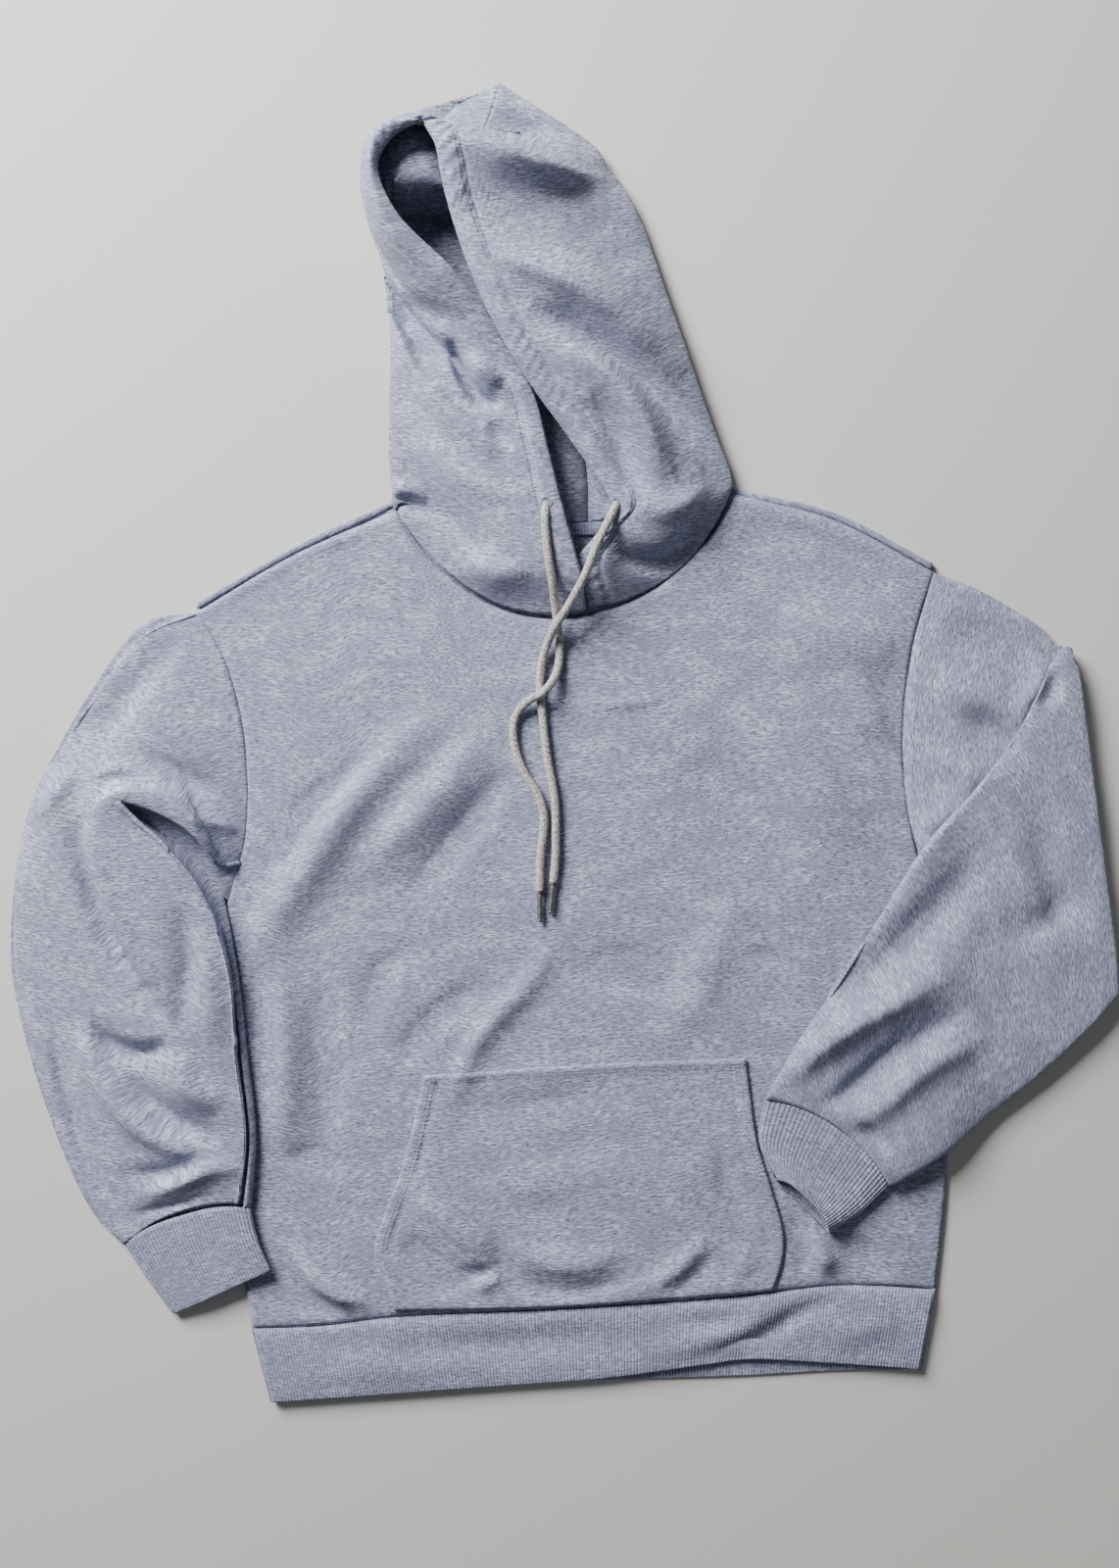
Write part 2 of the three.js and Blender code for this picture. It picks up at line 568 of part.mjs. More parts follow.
// ---- neck tape: a narrow ribbed strip over the back neck seam ----------------------------------
const TAPE_WIDTH = 11;
const TAPE_BASE = 2.6;
const TAPE_THICKNESS = 1.2;

function buildNeckTape() {
  const lower = along([[-60, 171], [18, 168], [90, 176]], 14);
  const upper = [...lower].reverse().map((p) => p.clone().setY(p.y + TAPE_WIDTH));
  const shape = new THREE.Shape([...lower, ...upper].map((p) => new THREE.Vector2(p.x, p.y)));
  const geometry = new THREE.ExtrudeGeometry(shape, { depth: TAPE_THICKNESS, bevelEnabled: false });
  geometry.translate(0, 0, TAPE_BASE);
  const mesh = new THREE.Mesh(geometry, ribKnit());
  mesh.name = 'neck_tape';
  return mesh;
}

// ---- drawcords ----------------------------------------------------------------------------
const ON_FRONT = FRONT_EDGE + FRONT_LOFT + CORD_DIAMETER / 2 + CORD_CLEAR;
const OVER = ON_FRONT + CORD_DIAMETER + CROSSING_CLEAR;

const leftCordRoute = [
  [-15, 195, 42], [-16, 182, 41.5], [-15, 166, 39], [-13, 150, 37.5], [-10, 132, 33], [-8, 116, 25],
  [-6, 99, 17], [-4, 82, ON_FRONT], [-6, 58, ON_FRONT + 1], [-17, 41, OVER], [-29, 34, 15],
  [-39, 23, ON_FRONT], [-42, 10, ON_FRONT], [-39, -9, ON_FRONT], [-32, -26, ON_FRONT],
  [-22, -42, ON_FRONT], [-17, -58, ON_FRONT], [-17, -72, ON_FRONT], [-19, -88, ON_FRONT],
  [-20, -104, ON_FRONT], [-20, -121, ON_FRONT],
];

const rightCordRoute = [
  [43, 195, 40], [34, 176, 39.5], [26, 160, 39.5], [20, 144, 37.5], [12, 127, 34], [3, 111, 28.5],
  [-6, 97, 25], [-14, 80, 15], [-19, 62, ON_FRONT], [-20, 41, ON_FRONT], [-18, 23, ON_FRONT],
  [-16, 4, ON_FRONT], [-13, -18, ON_FRONT], [-9, -38, ON_FRONT], [-7, -58, ON_FRONT],
  [-7, -76, ON_FRONT], [-7, -94, ON_FRONT], [-9, -114, ON_FRONT],
];

function buildCord(name, route) {
  const section = new THREE.Shape();
  section.absarc(0, 0, CORD_DIAMETER / 2, 0, 2 * Math.PI, false);
  const geometry = new THREE.ExtrudeGeometry(section, {
    steps: CORD_STEPS,
    curveSegments: 5,
    extrudePath: smooth(route.map(drawnIn)),
    bevelEnabled: false,
  });
  const mesh = new THREE.Mesh(geometry, braid());
  mesh.name = name;
  return mesh;
}

// The aglet goes straight on from the cord's last stretch.
function buildAglet(name, route) {
  const tip = vec(drawnIn(route[route.length - 1]));
  const heading = tip.clone().sub(vec(drawnIn(route[route.length - 2]))).normalize();
  const geometry = new THREE.CylinderGeometry(AGLET_RADIUS, AGLET_RADIUS, AGLET_LENGTH, 12);
  const mesh = new THREE.Mesh(geometry, dullMetal());
  mesh.quaternion.setFromUnitVectors(new THREE.Vector3(0, 1, 0), heading);
  mesh.position.copy(tip).addScaledVector(heading, AGLET_LENGTH / 2 + GAP);
  mesh.name = name;
  return mesh;
}

// ---- the whole garment --------------------------------------------------------------------
const hoodie = new THREE.Group();
hoodie.add(buildBack());
hoodie.add(buildFront());
hoodie.add(buildHemBand());
hoodie.add(buildPocket());
hoodie.add(buildLeftSleeve());
hoodie.add(buildRightSleeve());
hoodie.add(buildLeftCuff());
hoodie.add(buildRightCuff());
hoodie.add(buildHoodHalf('hood_left', hoodLeftRows, true));
hoodie.add(buildHoodHalf('hood_right', hoodRightRows, false));
hoodie.add(buildNeckTape());
hoodie.add(buildCord('drawcord_left', leftCordRoute));
hoodie.add(buildCord('drawcord_right', rightCordRoute));
hoodie.add(buildAglet('aglet_left', leftCordRoute));
hoodie.add(buildAglet('aglet_right', rightCordRoute));

// The origin is the middle of the footprint.
const footprint = new THREE.Box3().setFromObject(hoodie, true);
const middle = footprint.getCenter(new THREE.Vector3());
hoodie.position.set(-middle.x, -middle.y, 0);
hoodie.updateMatrixWorld(true);

export default hoodie;
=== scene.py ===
# %% [markdown]
# # A fleece hoodie laid flat
# The hoodie lies face up on a floor: two body panels, two sleeves, two hood halves, a kangaroo
# pocket, ribbed cuffs and hem, and two drawcords. The CAD model fixes where each piece lies. We
# load it first, and every cloth piece made here takes the place of one of its nodes.

# %% Load the frame
import math

import bmesh
import bpy
import numpy as np
from mathutils import Matrix, Vector
from mathutils.kdtree import KDTree


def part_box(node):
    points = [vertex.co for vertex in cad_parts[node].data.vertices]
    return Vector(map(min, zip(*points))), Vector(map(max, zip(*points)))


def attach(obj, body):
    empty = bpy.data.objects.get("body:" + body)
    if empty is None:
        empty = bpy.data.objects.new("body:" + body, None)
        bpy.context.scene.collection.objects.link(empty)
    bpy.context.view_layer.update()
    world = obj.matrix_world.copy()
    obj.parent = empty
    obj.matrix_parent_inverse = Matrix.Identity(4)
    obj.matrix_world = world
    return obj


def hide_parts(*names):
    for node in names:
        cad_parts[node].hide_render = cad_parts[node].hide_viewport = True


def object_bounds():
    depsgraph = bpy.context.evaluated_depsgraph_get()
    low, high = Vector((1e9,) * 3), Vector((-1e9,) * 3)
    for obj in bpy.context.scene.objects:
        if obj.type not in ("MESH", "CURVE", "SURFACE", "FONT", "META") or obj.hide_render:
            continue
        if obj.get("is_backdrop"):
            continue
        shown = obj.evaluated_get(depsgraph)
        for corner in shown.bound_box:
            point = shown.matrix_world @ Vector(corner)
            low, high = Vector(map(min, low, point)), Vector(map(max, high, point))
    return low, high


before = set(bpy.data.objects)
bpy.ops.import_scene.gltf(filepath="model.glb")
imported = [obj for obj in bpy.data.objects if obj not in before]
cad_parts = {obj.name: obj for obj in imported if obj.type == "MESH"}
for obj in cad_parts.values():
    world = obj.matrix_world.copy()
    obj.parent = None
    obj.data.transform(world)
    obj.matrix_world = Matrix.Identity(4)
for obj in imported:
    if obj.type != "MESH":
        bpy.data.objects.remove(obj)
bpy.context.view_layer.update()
MM = 0.001
print("nodes:", sorted(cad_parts))

# %% [markdown]
# The CAD part sets its origin in the middle of its footprint, so its outlines were moved a little
# after they were drawn. The neck tape and the hem band tell how far. We keep the outlines in
# millimetres, as a pattern cutter does, and move the finished points by `PLACE`.

# %% Where the outlines lie in the frame
TAPE_LEFT = -60
BAND_LOWEST = -536
PLACE = np.array([
    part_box("neck_tape")[0].x - TAPE_LEFT * MM,
    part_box("hem_band")[0].y - BAND_LOWEST * MM,
    0.0,
])
EYE = np.array([-4.0, -34.0])
EYE_HEIGHT = 1300.0


def seen(points):
    """Where points show on the floor's plane to an eye straight above the garment."""
    share = 1 - points[..., 2:3] / EYE_HEIGHT
    return EYE + (points[..., :2] - EYE) / share


def drawn_in(points):
    """Raised points, moved in so that they show where their outline was drawn."""
    points = np.asarray(points, float)
    share = 1 - points[..., 2:3] / EYE_HEIGHT
    return np.concatenate([EYE + (points[..., :2] - EYE) * share, points[..., 2:3]], -1)


print("outlines moved by", (PLACE / MM).round(2), "mm")

# %% [markdown]
# ## The camera
# A camera straight above the garment looks down at it. The lens is worked out from the height and
# the length of floor that the long side of the picture takes in.

# %% Camera over the garment
SENSOR = 36.0
FLOOR_SEEN = 1.28
camera_data = bpy.data.cameras.new("camera_above")
camera_data.sensor_width = SENSOR
camera_data.lens = SENSOR * EYE_HEIGHT * MM / FLOOR_SEEN
camera = bpy.data.objects.new("camera_above", camera_data)
camera.location = (EYE[0] * MM + PLACE[0], EYE[1] * MM + PLACE[1], EYE_HEIGHT * MM)
bpy.context.scene.collection.objects.link(camera)
bpy.context.scene.camera = camera
print("lens", round(camera_data.lens, 2), "mm")

# %% [markdown]
# ## Curves
# A pattern's edge is a smooth line through a few points. A Catmull-Rom curve does that: each
# stretch leaves and arrives along the line between its neighbours. Its centripetal form, with a
# power of one half, doesn't loop where points lie close together.


# %% Smooth lines through points
def stretch(p0, p1, p2, p3, count, power):
    """Points of one Catmull-Rom stretch from p1 towards p2, without p2 itself."""
    gaps = [max(np.linalg.norm(b - a), 1e-6) ** power for a, b in ((p0, p1), (p1, p2), (p2, p3))]
    leave = ((p1 - p0) / gaps[0] - (p2 - p0) / (gaps[0] + gaps[1]) + (p2 - p1) / gaps[1]) * gaps[1]
    reach = ((p2 - p1) / gaps[1] - (p3 - p1) / (gaps[1] + gaps[2]) + (p3 - p2) / gaps[2]) * gaps[1]
    t = np.linspace(0, 1, count, endpoint=False)[:, None]
    bend = -3 * p1 + 3 * p2 - 2 * leave - reach
    turn = 2 * p1 - 2 * p2 + leave + reach
    return p1 + leave * t + bend * t ** 2 + turn * t ** 3


def smooth_line(points, per_stretch, closed=False, power=0.0):
    """A Catmull-Rom line through points, with per_stretch steps between neighbours."""
    p = np.asarray(points, float)
    if closed:
        p = np.concatenate([p[-1:], p, p[:2]])
    else:
        p = np.concatenate([2 * p[:1] - p[1:2], p, 2 * p[-1:] - p[-2:-1]])
    runs = [stretch(*p[k:k + 4], per_stretch, power) for k in range(len(p) - 3)]
    return np.concatenate(runs + [p[-2:-1]])


def lengths_along(line):
    return np.concatenate([[0], np.cumsum(np.linalg.norm(np.diff(line, axis=0), axis=1))])


def even_line(points, count, fine=40):
    """count + 1 evenly spaced points on a smooth line."""
    line = smooth_line(points, fine, power=0.5)
    run = lengths_along(line)
    at = np.linspace(0, run[-1], count + 1)
    return np.stack([np.interp(at, run, line[:, k]) for k in range(line.shape[1])], -1)


def chain(*parts):
    """Evenly spaced lines joined end to end, with the corners between them kept."""
    runs = [even_line(points, count) for points, count in parts]
    return np.concatenate([runs[0]] + [run[1:] for run in runs[1:]])


def smooth_net(rows, across, along):
    """A smooth surface through a net of points: across steps a stretch one way, along the other."""
    fine = np.stack([smooth_line(row, across) for row in rows])
    return np.stack([smooth_line(fine[:, i], along) for i in range(fine.shape[1])], 1)


print("quarter circle test:", even_line([(1, 0), (0.7, 0.7), (0, 1)], 2)[1].round(3))

# %% [markdown]
# ## Folds
# Soft cloth lies in shallow waves. Each fold is a line on the floor's plane with a height, above
# or below, and a width on each side; it fades towards its ends. A narrow side makes a sharp flank,
# as where cloth leans over. Folds add up, so a field of them can be asked for at any point.


# %% A field of folds
FOLD_STEPS = 36
FOLD_FADE = 0.9


def fold(path, height, left, right=None):
    return {"line": even_line(path, FOLD_STEPS), "height": height, "left": left, "right": right or left}


def fold_field(where, folds, gain=1.0):
    """How much folds lift the cloth at points of the floor's plane, in millimetres."""
    flat = where.reshape(-1, 2)
    lift = np.zeros(len(flat))
    for one in folds:
        line = one["line"]
        reach = 3 * max(one["left"], one["right"])
        near = np.all((flat > line.min(0) - reach) & (flat < line.max(0) + reach), axis=1)
        spot = flat[near]
        if not len(spot):
            continue
        gap = spot[:, None] - line[None]
        far = (gap ** 2).sum(-1)
        k = far.argmin(1)
        run = np.gradient(line, axis=0)[k]
        side = run[:, 0] * gap[np.arange(len(k)), k, 1] - run[:, 1] * gap[np.arange(len(k)), k, 0]
        width = np.where(side > 0, one["left"], one["right"])
        fade = np.sin(np.pi * np.clip(k / (len(line) - 1), 0.02, 0.98)) ** FOLD_FADE
        lift[near] += one["height"] * fade * np.exp(-far[np.arange(len(k)), k] / width ** 2)
    return gain * lift.reshape(where.shape[:-1])


def distance_to(where, line):
    """Distance on the plane from each point to a line given by close points."""
    flat = where.reshape(-1, 2)
    best = np.full(len(flat), 1e9)
    for start in range(0, len(line), 20):
        part = line[start:start + 20, :2]
        best = np.minimum(best, ((flat[:, None] - part[None]) ** 2).sum(-1).min(1))
    return np.sqrt(best).reshape(where.shape[:-1])


def waves(where, size, seed):
    """Slow irregular waves between about -1 and 1, from a few turned sine waves."""
    rng = np.random.default_rng(seed)
    total = np.zeros(where.shape[:-1])
    for _ in range(7):
        angle, shift = rng.uniform(0, 2 * math.pi, 2)
        pitch = size * rng.uniform(0.6, 1.6)
        run = where[..., 0] * math.cos(angle) + where[..., 1] * math.sin(angle)
        total += np.sin(2 * math.pi * run / pitch + shift)
    return total / 4


print("fold test:", fold_field(np.array([[[0.0, 0.0], [9.0, 0.0]]]), [fold([(0, -9), (0, 9)], 5, 6)]))

# %% [markdown]
# ## Shader maths
# A node tree is easier to read as an expression. `Sock` wraps an output socket and gives it plus,
# times and the rest, also with a number on the left; each operation adds its Math node. Colours
# go through Mix nodes, because a Math node would turn them grey.


# %% Sockets as expressions
class Sock:
    def __init__(self, tree, socket):
        self.tree = tree
        self.socket = socket

    def math(self, operation, *others):
        node = self.tree.nodes.new("ShaderNodeMath")
        node.operation = operation
        for slot, value in zip(node.inputs, (self, *others)):
            plug(self.tree, slot, value)
        return Sock(self.tree, node.outputs[0])

    def __add__(self, other):
        return self.math("ADD", other)

    def __mul__(self, other):
        return self.math("MULTIPLY", other)

    def __sub__(self, other):
        return self.math("SUBTRACT", other)

    def __rsub__(self, other):
        return (self * -1.0) + other

    __radd__ = __add__
    __rmul__ = __mul__


def plug(tree, slot, value):
    """Link a Sock to an input, or set the input's own value."""
    if isinstance(value, Sock):
        tree.links.new(value.socket, slot)
    else:
        slot.default_value = value


class Recipe:
    def __init__(self, name):
        self.material = bpy.data.materials.new(name)
        self.material.use_nodes = True
        self.tree = self.material.node_tree
        self.surface = self.tree.nodes["Principled BSDF"]

    def node(self, kind, settings=None, output=0, **inputs):
        made = self.tree.nodes.new(kind)
        for key, value in (settings or {}).items():
            setattr(made, key, value)
        for key, value in inputs.items():
            plug(self.tree, made.inputs[key.replace("_", " ")], value)
        return Sock(self.tree, made.outputs[output])

    def ramp(self, value, low, high):
        return self.node("ShaderNodeMapRange", {"clamp": True}, Value=value, From_Min=low, From_Max=high)

    def blend(self, factor, first, second):
        made = self.tree.nodes.new("ShaderNodeMix")
        made.data_type = "RGBA"
        for index, value in ((0, factor), (6, first), (7, second)):
            plug(self.tree, made.inputs[index], value)
        return Sock(self.tree, made.outputs[2])

    def streaks(self, across, along, detail=3.0, rough=0.6):
        """Noise on the cloth's own map, with so many grains a metre each way."""
        uv = self.node("ShaderNodeUVMap", {"uv_map": CLOTH_MAP})
        grain = self.node("ShaderNodeMapping", Vector=uv, Scale=(across, along, 1.0))
        return self.node("ShaderNodeTexNoise", Vector=grain, Scale=1.0, Detail=detail, Roughness=rough)

    def finish(self, color, roughness, bump=None, bump_depth=0.0, **constants):
        plug(self.tree, self.surface.inputs["Base Color"], color)
        plug(self.tree, self.surface.inputs["Roughness"], roughness)
        if bump is not None:
            normal = self.node("ShaderNodeBump", Height=bump, Distance=bump_depth, Strength=1.0)
            plug(self.tree, self.surface.inputs["Normal"], normal)
        for key, value in constants.items():
            self.surface.inputs[key.replace("_", " ")].default_value = value
        print("material", self.material.name, "has", len(self.tree.nodes), "nodes")
        return self.material


CLOTH_MAP = "cloth"

# %% [markdown]
# ## The marl fleece
# Marl yarn is spun from dark and pale fibres, so the knit shows short streaks that run along its
# courses, crosswise on every piece. Two noises stretched that way make the dark and the pale
# streaks, and a slow third one makes the cloth's cloudy look. The bump is fine loops and a little
# fuzz, and a sheen stands for the loose fibre ends.

# %% Fleece and rib materials
RIB_PITCH = 2.6
# The dark yarn colour is also the painted shade in the rib furrows.
DARK_YARN_AND_SHADE = (0.10, 0.106, 0.175, 1)
MARL = (0.305, 0.322, 0.455, 1)
PALE_YARN = (0.68, 0.70, 0.90, 1)


def marl_color(recipe, pale=0.76, dark=0.84):
    thread = recipe.streaks(130, 600, 4.0, 0.7)
    fleck = recipe.streaks(230, 850, 2.0, 0.6)
    cloud = recipe.streaks(24, 60, 3.0, 0.6)
    tone = recipe.blend(recipe.ramp(thread + (cloud - 0.5) * 0.5, 0.48, 0.68) * pale, MARL, PALE_YARN)
    deep = recipe.ramp(1 - (fleck * 0.6 + thread * 0.4), 0.47, 0.62)
    return recipe.blend(deep * dark, tone, DARK_YARN_AND_SHADE), thread


def fleece_material():
    recipe = Recipe("marl_fleece")
    color, thread = marl_color(recipe)
    loops = recipe.streaks(900, 1300, 2.0, 0.5)
    height = loops * 0.6 + thread * 0.8
    return recipe.finish(color, 0.95, height, 0.0011, Sheen_Weight=0.12, Sheen_Roughness=0.6,
                         Specular_IOR_Level=0.15)


def rib_material():
    recipe = Recipe("marl_rib")
    color, thread = marl_color(recipe, 0.6, 0.75)
    uv = recipe.node("ShaderNodeUVMap", {"uv_map": CLOTH_MAP})
    across = recipe.node("ShaderNodeSeparateXYZ", Vector=uv)
    ridge = (across * (math.pi / (RIB_PITCH * MM))).math("SINE").math("ABSOLUTE")
    # The furrows between the ribs are painted darker with the dark yarn colour: painted shade in the furrows,
    # on top of their real depth.
    color = recipe.blend(recipe.ramp(ridge, 0.75, 0.05) * 0.75, color, DARK_YARN_AND_SHADE)
    loops = recipe.streaks(700, 500, 2.0, 0.5)
    return recipe.finish(color, 0.95, loops * 0.6 + thread * 0.5, 0.0008, Sheen_Weight=0.08,
                         Sheen_Roughness=0.6, Specular_IOR_Level=0.15)


fleece = fleece_material()
rib = rib_material()

# %% [markdown]
# ## From a net of points to cloth
# Every cloth piece is one grid, as woven or knitted cloth is. `create_grid` gives the vertices and
# faces, and each vertex then moves to its point of the net. The grid's own rows and columns also
# give the cloth its map, measured in metres, before anything moves. A tube's two long edges meet
# and merge. A Solidify modifier gives the wall its thickness, inwards from the outer face.

# %% Cloth from a net
FLEECE_THICK = 2.0
RIB_THICK = 1.3
MAP_CLIMB = 0.6


def grid_mesh(name, net, turned=False, ring=None, from_above=False):
    """An object made of one grid moved onto a net of points in millimetres.

    Its map follows the net's rows and columns. With a ring, every row is measured as that ring is;
    from_above lays the map over the net instead, where the rows bunch up too much to follow."""
    rows, columns = net.shape[:2]
    measured = net if ring is None else np.broadcast_to(ring, net.shape)
    across = np.concatenate([np.zeros((rows, 1)), np.cumsum(
        np.linalg.norm(np.diff(measured, axis=1), axis=-1), axis=1)], 1) * MM
    along = np.concatenate([np.zeros((1, columns)), np.cumsum(
        np.linalg.norm(np.diff(net, axis=0), axis=-1), axis=0)], 0) * MM
    if from_above:
        across, along = net[..., 0] * MM, (net[..., 1] + MAP_CLIMB * net[..., 2]) * MM
    places = net * MM + PLACE
    bm = bmesh.new()
    bmesh.ops.create_grid(bm, x_segments=columns - 1, y_segments=rows - 1, size=0.5)
    index = {}
    for vert in bm.verts:
        i = round((vert.co.x + 0.5) * (columns - 1))
        j = round((vert.co.y + 0.5) * (rows - 1))
        index[vert] = (j, i)
    layer = bm.loops.layers.uv.new(CLOTH_MAP)
    for face in bm.faces:
        face.smooth = True
        for loop in face.loops:
            j, i = index[loop.vert]
            loop[layer].uv = (across[j, i], along[j, i])
    for vert, (j, i) in index.items():
        vert.co = places[j, i]
    bmesh.ops.remove_doubles(bm, verts=bm.verts, dist=0.01 * MM)
    if turned:
        bmesh.ops.reverse_faces(bm, faces=bm.faces)
    mesh = bpy.data.meshes.new(name)
    bm.to_mesh(mesh)
    bm.free()
    made = bpy.data.objects.new(name, mesh)
    bpy.context.scene.collection.objects.link(made)
    return made


def cloth(name, net, material, thick=FLEECE_THICK, turned=False, ring=None, from_above=False):
    made = grid_mesh(name + "_cloth", net, turned, ring, from_above)
    made.data.materials.append(material)
    wall = made.modifiers.new("wall", "SOLIDIFY")
    wall.thickness = thick * MM
    wall.offset = -1
    area = sum(face.area for face in made.data.polygons)
    print(f"{name}: {len(made.data.polygons)} faces, {area:.4f} m2")
    return made


def settle(piece, nodes):
    """Ties a piece to the garment's one body and hides the CAD nodes it takes the place of."""
    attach(piece, "root")
    if nodes:
        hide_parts(*nodes)
    return piece


def net_normals(net):
    across = np.gradient(net, axis=1)
    along = np.gradient(net, axis=0)
    normal = np.cross(across, along)
    return normal / np.maximum(np.linalg.norm(normal, axis=-1, keepdims=True), 1e-9)


DEEPEST_DIP = 0.62


def lift_top(net, folds, outward=1.0, extra=None, gain=1.0):
    """Raises the parts of a net that face up by its folds, and never dips below a share of its height."""
    facing = np.clip(net_normals(net)[..., 2:3] * outward, 0, 1) ** 0.5
    rise = fold_field(seen(net), folds, gain)[..., None]
    if extra is not None:
        rise = rise + extra[..., None]
    room = net[..., 2:3] - net[..., 2].min(axis=1)[:, None, None]
    rise = np.maximum(rise, -DEEPEST_DIP * room)
    lifted = net + np.concatenate([np.zeros_like(rise), np.zeros_like(rise), rise * facing], -1)
    lifted[..., 2] = np.maximum(lifted[..., 2], 0)
    return lifted


def off_the_floor(net, outward):
    """Raises points whose outer side faces up, so that the wall below them stays over the floor."""
    faces_up = net_normals(net)[..., 2] * outward > 0
    net[..., 2] = np.where(faces_up, np.maximum(net[..., 2], FLEECE_THICK), net[..., 2])
    return net


def step_fold(path, shift, up, down, near=3.5, wide=16):
    """Cloth that leans over its neighbour: a ridge on the left of the path, a trough on its right."""
    low = np.array(path, float) + shift
    return [fold(path, up, wide, near), fold(low, -down, near, wide)]


# %% [markdown]
# ## The drawcords
# Both cords leave the hood's casing through a buttonhole and lie on the chest, crossing twice.
# They are round braids 7 mm thick that end in thin metal tips. A tube is a grid rolled round the
# cord's route, so that its map runs round and along it, and the braid's plaits are pressed into
# its surface as two sets of crossing spirals.

# %% Cord routes and braid
CORD_RADIUS = 3.5
ON_FRONT = 11.5
OVER = 19.7
left_cord_route = [
    (-15, 195, 34), (-16, 184, 38.5), (-15, 168, 38.5), (-13, 150, 37.5), (-10, 132, 33), (-8, 116, 25),
    (-6, 99, 17), (-4, 82, ON_FRONT), (-6, 58, ON_FRONT + 1), (-17, 41, OVER), (-29, 34, 15),
    (-39, 23, ON_FRONT), (-42, 10, ON_FRONT), (-39, -9, ON_FRONT), (-32, -26, ON_FRONT),
    (-22, -42, ON_FRONT), (-17, -58, ON_FRONT), (-17, -72, ON_FRONT), (-19, -88, ON_FRONT),
    (-20, -104, ON_FRONT), (-20, -121, ON_FRONT),
]
right_cord_route = [
    (43, 195, 33), (35, 179, 38.5), (26, 160, 39), (20, 144, 37.5), (12, 127, 34), (3, 111, 28.5),
    (-6, 97, 25), (-14, 80, 15), (-19, 62, ON_FRONT), (-20, 41, ON_FRONT), (-18, 23, ON_FRONT),
    (-16, 4, ON_FRONT), (-13, -18, ON_FRONT), (-9, -38, ON_FRONT), (-7, -58, ON_FRONT),
    (-7, -76, ON_FRONT), (-7, -94, ON_FRONT), (-9, -114, ON_FRONT),
]


PLAITS = 4
PLAIT_DEEP = 0.35
PLAIT_TWIST = 0.9


def tube_net(line, radius_at, sides):
    """Rings round a line of points; radius_at gives the radius by distance along and angle."""
    run = np.gradient(line, axis=0)
    run /= np.linalg.norm(run, axis=1, keepdims=True)
    side = np.cross(run, [0, 0, 1.0])
    side /= np.linalg.norm(side, axis=1, keepdims=True)
    up = np.cross(side, run)
    angle = np.linspace(0, 2 * math.pi, sides + 1)[None, :, None]
    radius = radius_at(lengths_along(line)[:, None], angle[..., 0])[..., None]
    return line[:, None] + radius * (np.cos(angle) * side[:, None] + np.sin(angle) * up[:, None])


def braid_radius(run, angle):
    turn = run * PLAIT_TWIST
    plait = np.abs(np.sin(PLAITS * angle + turn)) * np.abs(np.sin(PLAITS * angle - turn))
    return CORD_RADIUS - PLAIT_DEEP + PLAIT_DEEP * np.sqrt(plait)


def cord_material():
    recipe = Recipe("braided_cord")
    grain = recipe.streaks(420, 420, 3.0, 0.7)
    color = recipe.blend(recipe.ramp(grain, 0.36, 0.66), (0.17, 0.165, 0.16, 1), (0.78, 0.76, 0.72, 1))
    return recipe.finish(color, 0.9, grain, 0.0012, Sheen_Weight=0.15, Specular_IOR_Level=0.2)


braid = cord_material()


def drawcord(name, route):
    path = drawn_in(route)
    line = even_line(path, 260)
    made = grid_mesh(name + "_braid", tube_net(line, braid_radius, 24), turned=True)
    made.data.materials.append(braid)
    settle(made, [name])
    print(name, "is", round(lengths_along(line)[-1]), "mm long")
    return made, line


left_cord, left_line = drawcord("drawcord_left", left_cord_route)
right_cord, right_line = drawcord("drawcord_right", right_cord_route)

# %% [markdown]
# The tips are thin metal tubes, rolled and crimped at both ends. One turned profile makes each,
# swept round the straight line that runs on from the cord.

# %% Metal tips
TIP_LENGTH = 26.0
TIP_RADIUS = 2.0
TIP_SIDES = 20
CRIMP_IN = 3
CRIMP_WIDE = 0.7
CRIMP_DEEP = 0.25


def tip_radius(run, _angle):
    crimp = sum(CRIMP_DEEP * np.exp(-((gone - CRIMP_IN) / CRIMP_WIDE) ** 2)
                for gone in (run, TIP_LENGTH - run))
    ends = np.sqrt(np.clip(np.minimum(run, TIP_LENGTH - run) / 1.2, 0.0, 1))
    return (TIP_RADIUS - crimp) * np.maximum(ends, 0.02)


def tip_material():
    recipe = Recipe("dull_metal")
    wear = recipe.streaks(200, 900, 3.0, 0.6)
    color = recipe.blend(recipe.ramp(wear, 0.35, 0.7), (0.16, 0.145, 0.13, 1), (0.34, 0.32, 0.29, 1))
    return recipe.finish(color, recipe.ramp(wear, 0.1, 0.9) * 0.3 + 0.35, wear, 0.0002, Metallic=1.0)


metal = tip_material()


def cord_tip(name, line):
    heading = line[-1] - line[-2]
    heading /= np.linalg.norm(heading)
    middle = line[-1] + heading * np.linspace(0, TIP_LENGTH, 60)[:, None]
    made = grid_mesh(name + "_tube", tube_net(middle, tip_radius, TIP_SIDES), turned=True)
    made.data.materials.append(metal)
    settle(made, [name])
    return made


left_tip = cord_tip("aglet_left", left_line)
right_tip = cord_tip("aglet_right", right_line)
for cord_piece, line, tip in ((left_cord, left_line, left_tip), (right_cord, right_line, right_tip)):
    points = line * MM + PLACE
    tuple(points[0])
    float(lengths_along(points)[-1])

# %% [markdown]
# ## The front
# The front is one flat panel between the side seams, the armholes, the shoulders and the neck.
# A Coons patch fills such an outline: it blends the four edges and takes the corners away once.
# It lies on the back, 2 mm thick, dips into the seams, and carries the broad folds of a garment
# that was smoothed out by hand.

